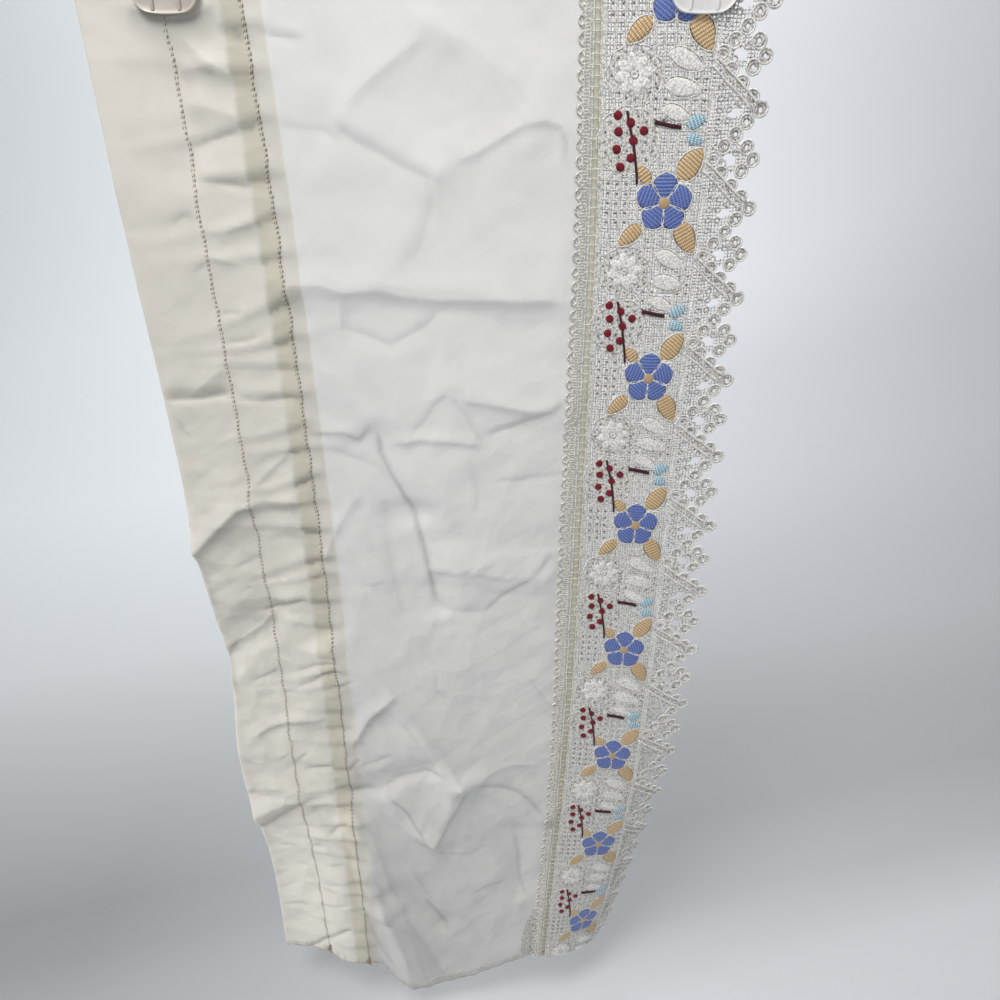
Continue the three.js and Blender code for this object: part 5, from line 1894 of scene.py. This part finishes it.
def plastic_finish(name, color):
    """Plain plastic. The sunk face of a front jaw gets painted shade, a little darker, read from its
    attribute.
    """
    plastic, tree, shader = new_material(name, color, 0.32)
    place = add_node(tree, "ShaderNodeTexCoord")
    grain = add_node(tree, "ShaderNodeTexNoise", Scale=260.0, Detail=2.0)
    sunk = add_node(tree, "ShaderNodeAttribute", attribute_name="sunk")
    tint = add_node(tree, "ShaderNodeMix", data_type="RGBA", blend_type="MIX")
    tint.inputs["A"].default_value = (*color, 1)
    tint.inputs["B"].default_value = (*(part * SUNK_SHADE for part in color), 1)
    tree.links.new(place.outputs["Object"], grain.inputs["Vector"])
    add_bump(tree, shader, grain.outputs["Fac"], 0.12, 0.0003)
    tree.links.new(sunk.outputs["Fac"], tint.inputs["Factor"])
    tree.links.new(tint.outputs["Result"], shader.inputs["Base Color"])
    return plastic


plastics = {
    # Beige plastic, its colour darkened part way as painted shade
    "heading_clip": plastic_finish("clip_plastic_beige_shaded", (0.55, 0.50, 0.44)),
    "lace_clip": plastic_finish("clip_plastic_white", (0.89, 0.885, 0.875)),
}
steel, steel_tree, steel_shader = new_material("clip_steel_pin", (0.55, 0.56, 0.58), 0.35)
steel_shader.inputs["Metallic"].default_value = 1.0
steel_place = add_node(steel_tree, "ShaderNodeTexCoord")
steel_grain = add_node(steel_tree, "ShaderNodeTexNoise", Scale=500.0, Detail=1.0)
steel_polish = add_node(steel_tree, "ShaderNodeMapRange", To_Min=0.25, To_Max=0.5)
steel_tree.links.new(steel_place.outputs["Object"], steel_grain.inputs["Vector"])
steel_tree.links.new(steel_grain.outputs["Fac"], steel_polish.inputs["Value"])
steel_tree.links.new(steel_polish.outputs["Result"], steel_shader.inputs["Roughness"])
print("clip finishes:", [plastic.name for plastic in plastics.values()], steel.name)

# %% [markdown]
# ## Front jaws
#
# A front jaw is a moulded plate with round lower corners, a raised rim and two upright ribs. Moulded
# plastic has soft edges that catch the light, so the jaw is shaped anew from a box of its solid's size: the
# corners are bevelled, the lower edge is bowed, the face is inset and sunk, the rim's edges are rounded,
# and two rounded bars are added.

# %% Outline of a front jaw
LOWER_CORNER, UPPER_CORNER = 11.0, 7.0
LOWER_BOW = 2.5
LEVEL_CUTS = 6
TOLERANCE = 0.01
SHORT_EDGE = 5


def box_between(small, low, high):
    made = bmesh.ops.create_cube(small, size=1)
    size = Matrix.Diagonal((*(high - low), 1))
    bmesh.ops.transform(small, verts=made["verts"], matrix=Matrix.Translation((low + high) / 2) @ size)


def bevel_edges(small, edges, offset, segments):
    bmesh.ops.bevel(small, geom=edges, offset=offset, segments=segments, profile=0.5, affect="EDGES",
                    offset_type="OFFSET", material=-1)


def corner_edges(jaw, height):
    """Edges that run from front to rear at a height."""
    return [edge for edge in jaw.edges if abs(edge.verts[0].co.y - edge.verts[1].co.y) > TOLERANCE
            and abs(edge.verts[0].co.z - height) < TOLERANCE]


def shape_outline(jaw, low, high):
    """Rounds the corners, and bows the lower edge down in its middle."""
    bevel_edges(jaw, corner_edges(jaw, low.z), LOWER_CORNER, 8)
    bevel_edges(jaw, corner_edges(jaw, high.z), UPPER_CORNER, 6)
    level = [edge for edge in jaw.edges if abs(edge.verts[0].co.x - edge.verts[1].co.x) > SHORT_EDGE
             and all(abs(vert.co.z - low.z) < TOLERANCE for vert in edge.verts)]
    bmesh.ops.subdivide_edges(jaw, edges=level, cuts=LEVEL_CUTS)
    middle_x, middle_z = (low.x + high.x) / 2, (low.z + high.z) / 2
    for vert in jaw.verts:
        if vert.co.z < middle_z:
            vert.co.z += LOWER_BOW * ((vert.co.x - middle_x) * 2 / (high.x - low.x)) ** 2


print("lower corners have a radius of", LOWER_CORNER, "mm")

# %% Face, rim and ribs of a front jaw
JAW_PLATE = 3.0
FACE_SET_BACK = 0.4
RIM_WIDTH = 2.8
RIM_ROUND, RIB_ROUND = 0.7, 0.5
RIB_OFFSET = 0.2
RIB_HALF = 1.1
# How far a rib's ends lie inside the jaw's box, at its low and at its high corner
RIB_LOW_INSET = 0.2, 2
RIB_HIGH_INSET = 1, 2


def sink_face(jaw, low, high):
    """Insets and sinks the front face, and marks it for the finish's painted shade."""
    face = min(jaw.faces, key=lambda item: item.calc_center_median().y)
    bmesh.ops.inset_region(jaw, faces=[face], thickness=RIM_WIDTH, use_even_offset=True)
    depth_of_face = high.y - JAW_PLATE - low.y + FACE_SET_BACK
    bmesh.ops.translate(jaw, verts=face.verts, vec=(0, depth_of_face, 0))
    sunk = jaw.verts.layers.float.new("sunk")
    for vert in face.verts:
        vert[sunk] = 1.0


def round_rim(jaw, low):
    rim = [edge for edge in jaw.edges if all(abs(vert.co.y - low.y) < TOLERANCE for vert in edge.verts)
           and len({round(face.normal.y, 2) for face in edge.link_faces}) > 1]
    bevel_edges(jaw, rim, RIM_ROUND, 3)


def add_ribs(jaw, low, high):
    middle_x = (low.x + high.x) / 2
    for side in (-1, 1):
        rib = bmesh.new()
        centre = middle_x + side * RIB_OFFSET * (high.x - low.x)
        rib_low = Vector((centre - RIB_HALF, low.y + RIB_LOW_INSET[0], low.z + RIB_LOW_INSET[1]))
        rib_high = Vector((centre + RIB_HALF, high.y - RIB_HIGH_INSET[0], high.z - RIB_HIGH_INSET[1]))
        box_between(rib, rib_low, rib_high)
        bevel_edges(rib, rib.edges[:], RIB_ROUND, 2)
        pour(jaw, rib)


print("a jaw's rim is", RIM_WIDTH, "mm wide")

# %% Make the front jaws, and dress the clips' other parts
def make_front_jaw(node, plastic):
    low, high = (Vector(corner) * 1000 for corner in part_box(node))
    jaw = bmesh.new()
    box_between(jaw, low, high)
    shape_outline(jaw, low, high)
    sink_face(jaw, low, high)
    round_rim(jaw, low)
    add_ribs(jaw, low, high)
    bmesh.ops.recalc_face_normals(jaw, faces=jaw.faces)
    mesh = bpy.data.meshes.new(node + "_moulded")
    jaw.to_mesh(mesh)
    jaw.free()
    put_points(mesh, points_of(mesh) * MM)
    mesh.set_sharp_from_angle(angle=math.radians(40))
    piece = fasten(node + "_moulded", mesh, plastic)
    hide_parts(node)


for clip_name, plastic in plastics.items():
    make_front_jaw(f"{clip_name}_front_jaw", plastic)
    for part_name, finish in (("rear_jaw", plastic), ("pin", steel)):
        bpy.data.objects[f"{clip_name}_{part_name}"].material_slots[0].material = finish
